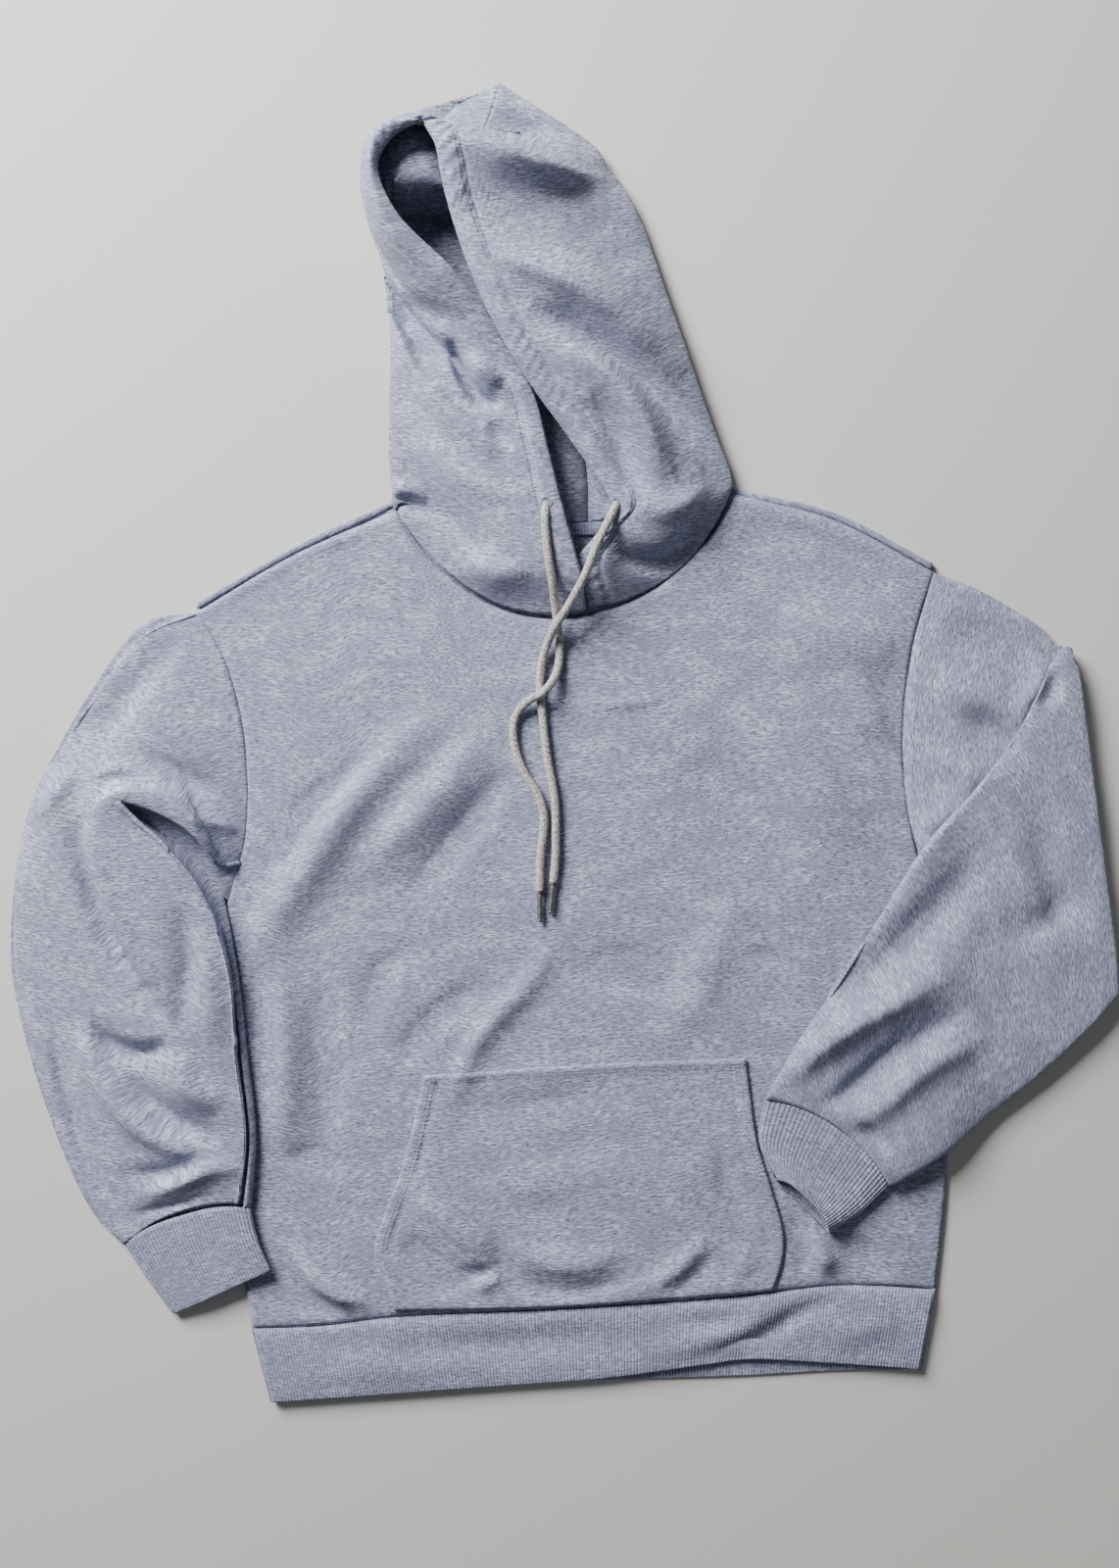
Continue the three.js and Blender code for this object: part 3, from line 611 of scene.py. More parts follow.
# %% Outlines of the body
hem_left, hem_right = (-254, -477), (302, -445)
armpit_left, armpit_right = (-274, -129), (290, -102)
shoulder_left, shoulder_right = (-299, 106), (301, 138)
neck_left, neck_right = (-137, 189), (134, 203)
hem_seam = [hem_left, (-197, -475), (-141, -468), (-13, -462), (131, -452), (227, -442), hem_right]
side_left = [hem_left, (-272, -354), (-277, -220), armpit_left]
side_right = [hem_right, (311, -354), (312, -260), (302, -160), armpit_right]
armhole_left = [armpit_left, (-259, -70), (-262, 10), (-280, 74), shoulder_left]
armhole_right = [armpit_right, (279, -50), (276, 10), (284, 80), shoulder_right]
front_shoulder_left = [shoulder_left, (-221, 152), neck_left]
front_shoulder_right = [neck_right, (219, 181), shoulder_right]
front_neck = [neck_left, (-109, 149), (-60, 112), (-15, 101), (50, 113), (95, 141), (125, 178), neck_right]
back_neck = [(-139, 197), (-75, 178), (18, 173), (90, 184), (136, 207)]
back_shoulder_left = [(-299, 114), (-221, 159), (-139, 197)]
back_shoulder_right = [(136, 207), (220, 187), (300, 146)]


def patch(bottom, top, left, right):
    """A plane net between four edges; its columns are shared out by the top edge's width."""
    rows, columns = len(left), len(top)
    u = ((top[:, 0] - top[0, 0]) / (top[-1, 0] - top[0, 0]))[None, :, None]
    rise = [(edge[:, 1] - edge[0, 1]) / (edge[-1, 1] - edge[0, 1]) for edge in (left, right)]
    v = (rise[0][:, None] * (1 - u[..., 0]) + rise[1][:, None] * u[..., 0])[..., None]
    share = np.linspace(0, 1, len(bottom))
    low = np.stack([np.interp(u[0, :, 0], share, bottom[:, k]) for k in (0, 1)], -1)[None]
    net = (1 - v) * low + v * top[None] + (1 - u) * left[:, None] + u * right[:, None]
    net -= (1 - u) * (1 - v) * left[0] + u * (1 - v) * right[0]
    net -= (1 - u) * v * left[-1] + u * v * right[-1]
    return net, u[..., 0] * np.ones((rows, columns)), v[..., 0]


FRONT_EDGE, FRONT_LOFT = 4.8, 2.4
SEAM_DIP = 1.5
SEAM_WIDTH = 2.4
FLAT_RIM = 22
CORD_CLEAR, CORD_EASE = 3, 16
LOWEST_FRONT = 4.1
hem_line = even_line(hem_seam, 14)
front_top = chain((front_shoulder_left, 44), (front_neck, 100), (front_shoulder_right, 44))
front_left = chain((side_left, 104), (armhole_left, 66))
front_right = chain((side_right, 104), (armhole_right, 66))
front_plan, front_u, _ = patch(hem_line, front_top, front_left, front_right)
front_rim = np.concatenate([even_line(hem_seam, 300), front_top, front_left, front_right])

body_folds = [
    fold([(-262, -190), (-215, -110), (-150, -20), (-90, 30)], 4.5, 15, 20),
    fold([(-250, -110), (-205, -55), (-150, -5)], -3.0, 11),
    fold([(-170, -110), (-120, -60), (-60, 10)], 3.4, 14, 18),
    fold([(-130, -130), (-80, -70), (-45, -20)], -2.2, 11),
    fold([(-235, -60), (-225, -90), (-215, -110)], -2.0, 7),
    fold([(-235, -175), (-225, -260), (-232, -340)], 3.4, 14),
    fold([(-200, -190), (-190, -270), (-200, -350)], -2.0, 12),
    fold([(-95, -300), (-70, -240), (-25, -190), (-8, -160)], 2.6, 8, 11),
    fold([(-140, -270), (-110, -230), (-60, -190)], -1.8, 10),
    fold([(-160, -240), (-150, -190), (-120, -165)], -1.6, 12),
    fold([(0, -190), (60, -185), (120, -205)], -2.2, 16),
    fold([(80, -250), (110, -190), (150, -120)], 1.8, 18),
    fold([(100, -10), (150, -60), (190, -120)], -1.8, 20),
    fold([(140, 40), (190, -10), (240, -90)], 2.4, 22),
    fold([(147, -157), (156, -162), (168, -165)], 0.5, 2.6, 3.5),
    fold([(148, -166), (172, -176), (196, -188)], -0.7, 5),
    fold([(11, 35), (40, 31), (83, 36)], 1.1, 2.5, 4),
    fold([(243, 14), (263, -18), (279, -50)], -2.6, 9, 7),
    fold([(225, 60), (252, 20), (270, -30)], 2.2, 12),
    fold([(-200, 110), (-150, 110), (-110, 90)], -2.4, 20),
    fold([(-285, 95), (-230, 120), (-180, 150)], -1.8, 12),
    fold([(140, 178), (200, 160), (270, 128)], -3.6, 10, 22),
    fold([(170, 100), (230, 80), (270, 60)], 2.6, 22),
    fold([(-290, 90), (-220, 134), (-150, 168)], -3.6, 12, 18),
    fold([(-221, -410), (-197, -440), (-157, -462)], 4.0, 8, 6),
    fold([(-235, -425), (-212, -452), (-180, -468)], -2.8, 7),
    fold([(-230, -336), (-200, -340), (-172, -347)], -1.8, 9),
    fold([(192, -395), (210, -420), (212, -440)], 3.4, 9),
    fold([(180, -385), (196, -410), (195, -438)], -2.6, 7),
    fold([(225, -400), (250, -420), (270, -440)], -2.4, 9),
]
pocket_folds = [
    fold([(-128, -345), (-105, -378), (-72, -410), (-60, -432)], 5.0, 11, 14),
    fold([(-132, -402), (-110, -420), (-80, -444)], -4.0, 9, 12),
    fold([(-96, -436), (-72, -432), (-56, -426)], -4.4, 6),
    fold([(-74, -446), (-60, -436), (-50, -433)], 2.6, 6),
    fold([(-60, -392), (-50, -420), (-36, -440), (-8, -448), (24, -446), (50, -432)], -4.2, 7, 6),
    fold([(-50, -402), (-20, -420), (18, -424), (45, -412)], 4.4, 12, 9),
    fold([(40, -448), (80, -436), (104, -414), (118, -396)], 3.4, 7, 11),
    fold([(78, -455), (100, -436), (125, -412)], -2.4, 8),
    fold([(130, -455), (142, -430), (150, -412)], 1.8, 8),
    fold([(126, -330), (132, -360), (150, -395)], -2.4, 8),
    fold([(-95, -300), (-40, -296), (30, -286), (60, -292)], -1.8, 12),
    fold([(-100, -372), (-40, -360), (60, -352), (120, -360)], 1.6, 14),
]


def front_height(plan, u):
    """The height of the front's upper face over a point of its plan."""
    inside = np.clip(6 * np.minimum(u, 1 - u), 0, 1)
    height = FRONT_EDGE + FRONT_LOFT * np.sin(inside * math.pi / 2)
    rim = distance_to(plan, front_rim)
    slack = np.clip(rim / FLAT_RIM, 0, 1)
    cords = np.minimum(distance_to(plan, left_line), distance_to(plan, right_line))
    clear = np.clip((cords - CORD_CLEAR) / CORD_EASE, 0, 1)
    height += (fold_field(plan, body_folds, 2.8) + fold_field(plan, pocket_folds, 1.6)
               + 0.8 * waves(plan, 80, 4)) * slack * clear
    dip = np.exp(-(rim / SEAM_WIDTH) ** 2) * (height - FRONT_EDGE + SEAM_DIP * 0.6)
    return np.maximum(height - dip, LOWEST_FRONT)


front_net = np.concatenate([front_plan, front_height(front_plan, front_u)[..., None]], -1)
front = cloth("front", front_net, fleece)
settle(front, ["front"])

# %% [markdown]
# ## The back
# Only strips of the back show: along the shoulders, where it rolls forward to the seam, and in
# the neck. Its grid runs up the underside and round the shoulder's roll.

# %% Back panel
ROLL = 2.3
NECK_ROLL = 0.6
SEAM_IN, SHOULDER_IN = 3, 3.2
back_top = chain((back_shoulder_left, 44), (back_neck, 100), (back_shoulder_right, 44))
back_left = chain((side_left, 50), ([*armhole_left[:-1], back_shoulder_left[0]], 32))
back_right = chain((side_right, 50), ([*armhole_right[:-1], back_shoulder_right[-1]], 32))
back_plan, _, _ = patch(hem_line, back_top, back_left, back_right)
turn_angle = np.linspace(0, math.pi, 12)
ends_in = np.interp(np.arange(len(back_top)), [36, 52, 136, 152], [1, 0, 0, 1])
roll_high = NECK_ROLL + (ROLL - NECK_ROLL) * ends_in
rolled = [np.stack([back_top[:, 0], back_top[:, 1] - ROLL + ROLL * math.sin(a),
                    roll_high * (1 - math.cos(a))], -1) for a in turn_angle]
seam_in = back_top.copy()
seam_in[:, 1] -= SEAM_IN + SHOULDER_IN * ends_in
last = np.stack([seam_in[:, 0], seam_in[:, 1], 2 * roll_high], -1)
back_flat = np.concatenate([back_plan, np.zeros_like(back_plan[..., :1])], -1)[:-2]
back_net = np.concatenate([back_flat, np.stack(rolled), last[None]])
back = cloth("back", back_net, fleece, turned=True)
settle(back, ["back"])

# %% [markdown]
# ## The kangaroo pocket
# The pocket is a six-sided patch, sewn down along its top, its foot and the short lower sides.
# Its slanted sides stay open for the hands, hemmed with two rows of stitching. It follows the
# front under it, 2 mm higher, and its hems stand up a little more.

# %% Pocket patch
pocket_top = [(-114, -270), (19, -261), (147, -256)]
pocket_left = [(-138, -461), (-146, -436), (-154, -412), (-145, -380), (-132, -346), (-114, -270)]
pocket_right = [(169, -445), (176, -424), (178, -400), (168, -362), (157, -326), (147, -256)]
pocket_foot = [(-138, -461), (0, -458), (80, -452), (169, -445)]
pocket_plan, _, pocket_v = patch(
    even_line(pocket_foot, 30), even_line(pocket_top, 120), even_line(pocket_left, 84),
    even_line(pocket_right, 84))
POCKET_OVER = 2.5
HEM_LIFT = 0.9
HEM_WIDE = 12
STITCH_IN, STITCH_WIDE = 12.5, 1.6


def nearest_height(plan, net):
    """The height of a net of the front at points of the plan, from its nearest corners."""
    flat = net.reshape(-1, 3)
    tree = KDTree(len(flat))
    for k, point in enumerate(flat):
        tree.insert((point[0], point[1], 0), k)
    tree.balance()
    heights = []
    for x, y in plan.reshape(-1, 2):
        found = tree.find_n((x, y, 0), 4)
        weight = np.array([1 / (gap + 0.2) for _, _, gap in found])
        heights.append((flat[[k for _, k, _ in found], 2] * weight).sum() / weight.sum())
    return np.array(heights).reshape(plan.shape[:-1])


pocket_rim = np.concatenate([pocket_plan[0], pocket_plan[-1], pocket_plan[:, 0], pocket_plan[:, -1]])
to_side = np.minimum(distance_to(pocket_plan, pocket_plan[:, 0]),
                     distance_to(pocket_plan, pocket_plan[:, -1]))
to_rim = distance_to(pocket_plan, pocket_rim)
pocket_z = nearest_height(pocket_plan, front_net) + POCKET_OVER
pocket_z += HEM_LIFT * np.clip(1 - to_rim / HEM_WIDE, 0, 1) ** 0.5 * np.clip(to_rim / 1.5, 0, 1)
pocket_z -= HEM_LIFT * np.exp(-((to_side - STITCH_IN) / STITCH_WIDE) ** 2) * (pocket_v > 0.2)
pocket_z += 1.0 * np.exp(-((pocket_v - 0.985) / 0.012) ** 2)
pocket_net = np.concatenate([pocket_plan, pocket_z[..., None]], -1)
pocket = cloth("kangaroo_pocket", pocket_net, fleece)
settle(pocket, ["kangaroo_pocket"])

# %% [markdown]
# ## Ribbed bands
# The hem band and the cuffs are rib knit: ridges of plain stitches stand up between furrows. The
# knit is folded in half, so the free edge is a soft roll and the wall is two layers. The net runs
# down the outside, round the roll and a short way back up the inside, and every ring is lifted
# along its own normal by the ribs.

# %% Rib rings
RIB_DEPTH = 0.7
BAND_LAYERS = 2.8


def ribbed(net):
    """Presses furrows that run from seam to edge into a net of rings, whose normals face in."""
    middle = net[len(net) // 2]
    run = lengths_along(middle)
    count = round(run[-1] / RIB_PITCH)
    wave = np.abs(np.sin(math.pi * count * run / run[-1])) ** 0.7
    return net + net_normals(net) * RIB_DEPTH * (1 - wave)[None, :, None], middle


def band_net(ring, rows):
    """Rings from seam to free edge, round the roll and back. ring(t, inset, beyond) gives one."""
    radius = BAND_LAYERS / 2
    net = [ring(t, 0.0, 0.0) for t in np.linspace(0, 1, rows)]
    for angle in np.linspace(0, math.pi, 7)[1:-1]:
        net.append(ring(1.0, radius * (1 - math.cos(angle)), radius * math.sin(angle)))
    net += [ring(t, BAND_LAYERS, 0.0) for t in (1.0, 0.85, 0.7)]
    return np.stack(net)


# %% [markdown]
# The hem band is a flattened ring. Towards the right its front layer is drawn up a little, so the
# back layer shows under it, and a long crease crosses it there.

# %% Hem band
BAND_HIGH = 8.4
band_edge_front = [(-239, -535), (-141, -528), (-60, -522), (35, -515), (115, -504), (147, -500),
                   (219, -503), (290, -508)]
band_edge_back = [(-239, -535), (-141, -528), (-60, -522), (51, -518), (147, -515), (219, -511), (291, -510)]
BAND_COLUMNS = 840
BAND_TUCK = 2.6
TUCK_WIDE = 5 / 60
band_folds = [
    fold([(100, -503), (150, -492), (180, -475), (205, -462), (235, -450)], -4.2, 9, 7),
    fold([(60, -498), (120, -488), (160, -470), (190, -456)], 3.0, 12),
    fold([(210, -490), (245, -478), (275, -470)], 2.2, 12),
    fold([(90, -470), (120, -474), (150, -468)], -2.0, 6),
    fold([(-150, -496), (-60, -492), (20, -486), (70, -484)], -3.0, 13),
    fold([(-230, -488), (-190, -490), (-150, -486)], -1.6, 9),
    fold([(-240, -520), (-140, -512), (-30, -506)], 1.8, 10),
]


def hem_ring(t, inset, beyond):
    top = even_line(hem_seam, BAND_COLUMNS)
    top[:, 1] += 0.3
    layers = []
    for edge, upper in ((band_edge_front, True), (band_edge_back, False)):
        low = even_line(edge, BAND_COLUMNS)
        row = top * (1 - t) + low * t
        row[:, 1] -= beyond
        high = BAND_HIGH - inset if upper else inset
        z = np.full(len(row), high)
        round_in = 4.2 - inset
        ends = np.minimum(row[:, 0] - row[0, 0], row[-1, 0] - row[:, 0]) / round_in
        curve = np.sqrt(1 - (1 - np.clip(ends, 0, 1)) ** 2)
        z = BAND_HIGH / 2 + (z - BAND_HIGH / 2) * curve
        row[:, 0] = np.clip(row[:, 0], row[0, 0] + inset, row[-1, 0] - inset)
        if upper:
            z -= BAND_TUCK * np.exp(-(t / TUCK_WIDE) ** 2) * curve
        layers.append(np.concatenate([row, z[:, None]], -1))
    return np.concatenate([layers[0], layers[1][::-1], layers[0][:1]])


hem_net, hem_middle = ribbed(band_net(hem_ring, 13))
hem_net = lift_top(hem_net, band_folds, outward=-1.0, gain=1.3)
hem_band = cloth("hem_band", hem_net, rib, RIB_THICK, turned=True, ring=hem_middle)
settle(hem_band, ["hem_band"])

# %% [markdown]
# ## The left sleeve
# This sleeve lies flat round a sharp bend at the elbow. Its outer edge sweeps round; on the inside
# the cloth is too long for the bend and stands up in a rim on both sides of a deep fold. Each row
# of the net is a ring through the outer edge, the way up to the rim, down into the fold and back
# along the underside. A row in the list below gives the outer edge, the rim and the foot on the
# plan, three heights on the way up, the height it rests at, and how far the rim rolls over.

# %% Left sleeve net
FLAT_TUBE = 7.6
CUFF_HIGH = 8.8
EDGE_ROUND = 4.0
UNDER_REACH = 36.0
SEAM_HEIGHT = 4.4
TUCK_ROWS = 7
left_sleeve_rows = [
    ((-299, 106), (-278, -92), (-274, -129), (7.0, 7.0, 7.0), 0, 0.1),
    ((-341, 86), (-284, -90), (-277, -126), (12, 15, 17), 0, 0.3),
    ((-374, 47), (-294, -70), (-287, -118), (15, 23, 28), 0, 0.42),
    ((-405, 0), (-314, -48), (-304, -100), (17, 27, 38), 0, 0.42),
    ((-430, -44), (-344, -38), (-330, -80), (19, 29, 42), 0, 0.4),
    ((-443, -90), (-370, -43), (-352, -64), (18, 26, 41), 0, 0.3),
    ((-447, -138), (-353, -66), (-337, -62), (16, 30, 36), 0, 0.15),
    ((-445, -182), (-330, -88), (-312, -76), (15, 30, 34), 0, 0.15),
    ((-434, -230), (-300, -128), (-284, -106), (15, 28, 30), 0, 0.15),
    ((-418, -286), (-278, -190), (-266, -178), (15, 25, 26), 8.4, 0.15),
    ((-398, -342), (-272, -258), (-257, -252), (15, 22, 22), 8.4, 0.15),
    ((-379, -382), (-264, -324), (-250, -318), (13, 19, 20), 8.4, 0.15),
    ((-358, -408), (-270, -381), (-254, -376), (11, 16, 17), 8.4, 0.15),
]


def arm_ring(outer, rim, foot, rise, base, roll):
    """Points round the sleeve, in order from the outer edge over the top, its rolled rim and back."""
    outer, rim, foot = (np.array(p, float) for p in (outer, rim, foot))
    run = (foot - outer) / np.linalg.norm(foot - outer)
    way = [drawn_in([*(outer + (rim - outer) * s), z]) for s, z in zip((0.3, 0.65, 1.0), rise)]
    return [
        [*outer, FLAT_TUBE / 2],
        [*(outer + run * EDGE_ROUND), FLAT_TUBE],
        *way,
        [*(way[-1][:2] + (foot - rim) * roll + run), rise[2] - 2],
        [*(way[-1][:2] + (foot - rim) * (roll + 0.08) + run), 0.55 * rise[2]],
        [*(foot - run * EDGE_ROUND), base + FLAT_TUBE],
        [*foot, base + FLAT_TUBE / 2],
        [*(foot - run * EDGE_ROUND), base],
        [*(foot - run * UNDER_REACH), base],
        [*(outer + run * EDGE_ROUND), 0],
    ]


def seat_ring(ring, outer, foot, seam, gap):
    """Puts a sleeve's first ring on the armhole and brings its upper layer down to the seam."""
    whole = np.array(foot, float) - outer
    share = np.clip(((ring[:, :2] - outer) @ whole) / (whole @ whole), 0, 1)
    line = even_line(seam, 400)
    at = (share * 400).round().astype(int)
    high = np.clip(ring[:, 2], 0, SEAM_HEIGHT)
    return np.stack([line[at, 0] + gap, line[at, 1], high], -1)


def closed_rings(rows, around, along):
    rings = np.stack([smooth_line(row, around, closed=True) for row in rows])
    return rings, lambda r: np.stack([smooth_line(r[:, i], along) for i in range(r.shape[1])], 1)


arm_rows, arm_along = closed_rings([arm_ring(*row) for row in left_sleeve_rows], 15, 14)
arm_rows[0] = seat_ring(arm_rows[0], left_sleeve_rows[0][0], left_sleeve_rows[0][2], armhole_left[::-1], 0.5)
arm_net = arm_along(arm_rows)
arm_net[..., 2] = np.maximum(arm_net[..., 2], 0)

left_arm_folds = [
    fold([(-314, 86), (-350, 44), (-392, -10)], -4.0, 9, 16),
    fold([(-352, 46), (-320, 8), (-285, -28)], 4.5, 10, 9),
    fold([(-350, -2), (-322, -22), (-284, -48)], -5.0, 8),
    fold([(-429, -64), (-414, -40), (-396, -20)], 5.0, 9),
    fold([(-388, -28), (-368, -22), (-350, -24)], 3.0, 5),
    fold([(-306, -62), (-284, -66), (-264, -72)], 3.0, 4),
    *step_fold([(-384, -52), (-391, -76), (-389, -98), (-380, -124), (-371, -146), (-358, -172), (-341, -196),
                (-328, -216), (-322, -236)], (-6, -2), 4.0, 11.0, 5.5, 13),
    fold([(-404, -80), (-400, -110), (-386, -146), (-368, -178), (-343, -210), (-331, -238)], 5.0, 6, 12),
    fold([(-392, -226), (-372, -246), (-350, -254), (-318, -248)], -6.5, 7, 9),
    fold([(-384, -222), (-388, -252), (-366, -294), (-338, -320), (-300, -340)], 6.0, 9, 9),
    fold([(-362, -262), (-330, -304), (-276, -328)], -5.5, 10, 9),
    fold([(-320, -250), (-308, -280), (-280, -300)], 5.0, 10),
    fold([(-421, -226), (-408, -292), (-388, -350), (-364, -386)], -3.6, 6, 4),
    fold([(-300, -150), (-290, -200), (-285, -250)], 3.0, 12),
    fold([(-315, -130), (-308, -180), (-312, -230)], -4.0, 9),
    fold([(-345, -372), (-320, -366), (-290, -352), (-262, -346)], 4.0, 8),
    fold([(-352, -388), (-315, -386), (-280, -374)], -2.4, 5),
    fold([(-364, -352), (-330, -354), (-290, -340)], -3.0, 8),
]


def wrist_tuck(net, a, b, base_a, base_b):
    """Brings the top of a sleeve's last rows down to its cuff's top, so that it bags over the seam."""
    a, b = np.array(a, float), np.array(b, float)
    near = np.clip((np.arange(len(net)) - len(net) + TUCK_ROWS + 1) / TUCK_ROWS, 0, 1)[:, None] ** 2
    across = np.clip(((net[..., :2] - a) @ (b - a)) / ((b - a) @ (b - a)), 0, 1)
    cuff_top = CUFF_HIGH + base_a + (base_b - base_a) * across
    over = np.maximum(net[..., 2] - cuff_top, 0)
    net[..., 2] -= over * 0.85 * near
    return net


def bowed(net, a, b, push, weights):
    """Pushes the middle of a tube's last rows sideways, each row by its weight."""
    a, b = np.array(a, float), np.array(b, float)
    part = net[-len(weights):]
    share = np.clip(((part[..., :2] - a) @ (b - a)) / ((b - a) @ (b - a)), 0, 1)
    part[..., :2] += (4 * share * (1 - share) * np.asarray(weights)[:, None] ** 2)[..., None] * np.array(push)
    return net


arm_net = lift_top(arm_net, left_arm_folds, outward=-1.0, extra=0.6 * waves(seen(arm_net), 70, 3), gain=2.1)
arm_net = wrist_tuck(arm_net, (-358, -408), (-254, -376), 0, 8.4)
arm_net = bowed(arm_net, (-358, -408), (-254, -376), (-3, 10), np.linspace(0, 1, 26))
arm_net = off_the_floor(arm_net, -1.0)
sleeve_left = cloth("sleeve_left", arm_net, fleece, turned=True, from_above=True)
settle(sleeve_left, ["sleeve_left"])

# %% [markdown]
# ## The right sleeve
# This one lies flat as far as a fold line, turns over it and comes back across the body. Each
# station is a flat oval; round the fold its thickness direction swings from up to down.

# %% Right sleeve net
fold_top, fold_bottom = np.array([411.0, 78.0]), np.array([447.0, -206.0])
TURN_RADIUS = FLAT_TUBE / 2 + 1.6
FOREARM_BASE = 2 * TURN_RADIUS


def upper_arm(a, b):
    return [*a, FLAT_TUBE / 2], [*b, FLAT_TUBE / 2], FLAT_TUBE, [0, 0, 1]


def forearm(a, b, high, base_a, base_b):
    return [*a, base_a + high / 2], [*b, base_b + high / 2], high, [0, 0, -1]


def turn_over(steps):
    run = (fold_bottom - fold_top) / np.linalg.norm(fold_bottom - fold_top)
    out = np.array([-run[1], run[0]])
    for k in range(1, steps):
        angle = math.pi * k / steps
        reach = TURN_RADIUS * (math.sin(angle) - 1)
        rise = FLAT_TUBE / 2 + TURN_RADIUS * (1 - math.cos(angle))
        corners = [[*(corner + out * reach), rise] for corner in (fold_top, fold_bottom)]
        thick = [*(out * -math.sin(angle)), math.cos(angle)]
        yield (*corners, FLAT_TUBE, thick)


right_stations = [
    upper_arm((301, 138), (290, -102)),
    upper_arm((339, 123), (327, -134)),
    upper_arm((375, 102), (371, -166)),
    upper_arm((400, 84), (415, -194)),
    *turn_over(5),
    forearm((396, 68), (424, -230), FLAT_TUBE, FOREARM_BASE, FOREARM_BASE),
    forearm((367, 10), (387, -266), 10, FOREARM_BASE, 8),
    forearm((331, -38), (343, -302), 13, FOREARM_BASE, 5),
    forearm((291, -82), (309, -330), 16, FOREARM_BASE, 8.4),
    forearm((254, -141), (290, -343), 16, 9.4, 8.4),
    forearm((219, -197), (275, -352), 14, 8.4, 8.4),
    forearm((189, -241), (267, -357), 12, 8.4, 8.4),
    forearm((162, -288), (262, -358), 11, 8.4, 8.4),
]


def flat_oval(a, b, high, thick, around, inset=0.0):
    """One ring of a flattened tube: near flat above and below, round at its two edges."""
    angle = np.linspace(0, 2 * math.pi, around + 1)
    across = np.sign(np.cos(angle)) * np.abs(np.cos(angle)) ** 0.7
    height = np.clip(1.2 * np.sign(np.sin(angle)) * np.abs(np.sin(angle)) ** 0.7, -1, 1)
    keep = 1 - 2 * inset / np.linalg.norm(b - a)
    share = (1 - across * keep)[:, None] / 2
    ring = a + (b - a) * share + thick * (height * (high / 2 - inset))[:, None]
    ring[:, 2] = np.maximum(ring[:, 2], inset)
    return ring


def oval_net(stations, around, along):
    tracks = [smooth_line(np.array([s[k] for s in stations], float), along) for k in (0, 1, 3)]
    high = np.interp(np.linspace(0, len(stations) - 1, len(tracks[0])), range(len(stations)),
                     [s[2] for s in stations])
    thick = tracks[2] / np.linalg.norm(tracks[2], axis=1, keepdims=True)
    return np.stack([flat_oval(a, b, h, t, around) for a, b, h, t in zip(tracks[0], tracks[1], high, thick)])


right_arm_folds = [
    fold([(307, 98), (350, 82), (395, 50)], -3.4, 16),
    fold([(300, 52), (335, 36), (371, 20)], 3.4, 12),
    fold([(322, 24), (347, 10), (372, -8)], -3.0, 8),
    fold([(297, -10), (318, -20), (345, -36)], 3.0, 8),
    fold([(171, -282), (219, -242), (275, -210), (323, -186)], 6.0, 15, 12),
    fold([(196, -226), (255, -186), (305, -140), (352, -84)], -5.5, 22, 16),
    fold([(250, -125), (300, -75), (350, 0)], 2.5, 12),
    fold([(208, -306), (245, -276), (272, -252), (331, -218)], -6.0, 9, 8),
    fold([(215, -322), (255, -300), (300, -262), (350, -240)], 3.4, 10),
    fold([(236, -312), (252, -322), (270, -334)], -2.0, 7),
    fold([(330, -30), (370, -110), (420, -190)], 2.5, 20),
    fold([(380, -40), (400, -120), (420, -170)], -2.4, 14),
    fold([(345, -160), (385, -150), (425, -120)], -2.6, 12),
    fold([(386, 66), (388, 50), (377, 34), (366, 14)], 3.0, 5),
    fold([(398, 60), (400, 44), (388, 26)], -2.0, 6),
    fold([(288, -74), (300, -66), (314, -56)], 4.0, 4, 3),
]
right_net = oval_net(right_stations, 170, 10)
right_seat = seat_ring(right_net[0], np.array([301.0, 138.0]), (290, -102), armhole_right[::-1], -0.5)
ease = np.clip(1 - np.arange(len(right_net)) / 5, 0, 1)[:, None, None] ** 2
right_net = right_net * (1 - ease) + right_seat[None] * ease
right_net = lift_top(right_net, right_arm_folds, extra=0.8 * waves(seen(right_net), 70, 5), gain=2.1)
right_net = wrist_tuck(right_net, (162, -288), (262, -358), 8.4, 8.4)
right_net = bowed(right_net, (162, -288), (262, -358), (8, 12), np.linspace(0, 1, 20))
CORNER_MIDDLE, CORNER_RADIUS = np.array([399.0, 66.0]), 13.0
from_middle = right_net[..., :2] - CORNER_MIDDLE
reach = np.linalg.norm(from_middle, axis=-1, keepdims=True)
outward_corner = (from_middle.sum(-1, keepdims=True) > 0.75 * reach) & (reach > CORNER_RADIUS)
rounded = CORNER_MIDDLE + from_middle * CORNER_RADIUS / np.maximum(reach, 1)
right_net[..., :2] = np.where(outward_corner, rounded, right_net[..., :2])
sleeve_right = cloth("sleeve_right", right_net, fleece)
settle(sleeve_right, ["sleeve_right"])

# %% [markdown]
# ## The cuffs
# Two short ribbed tubes, flattened. The left one lies closed; the right one gapes a little towards
# the viewer's left, so its inner layer shows.

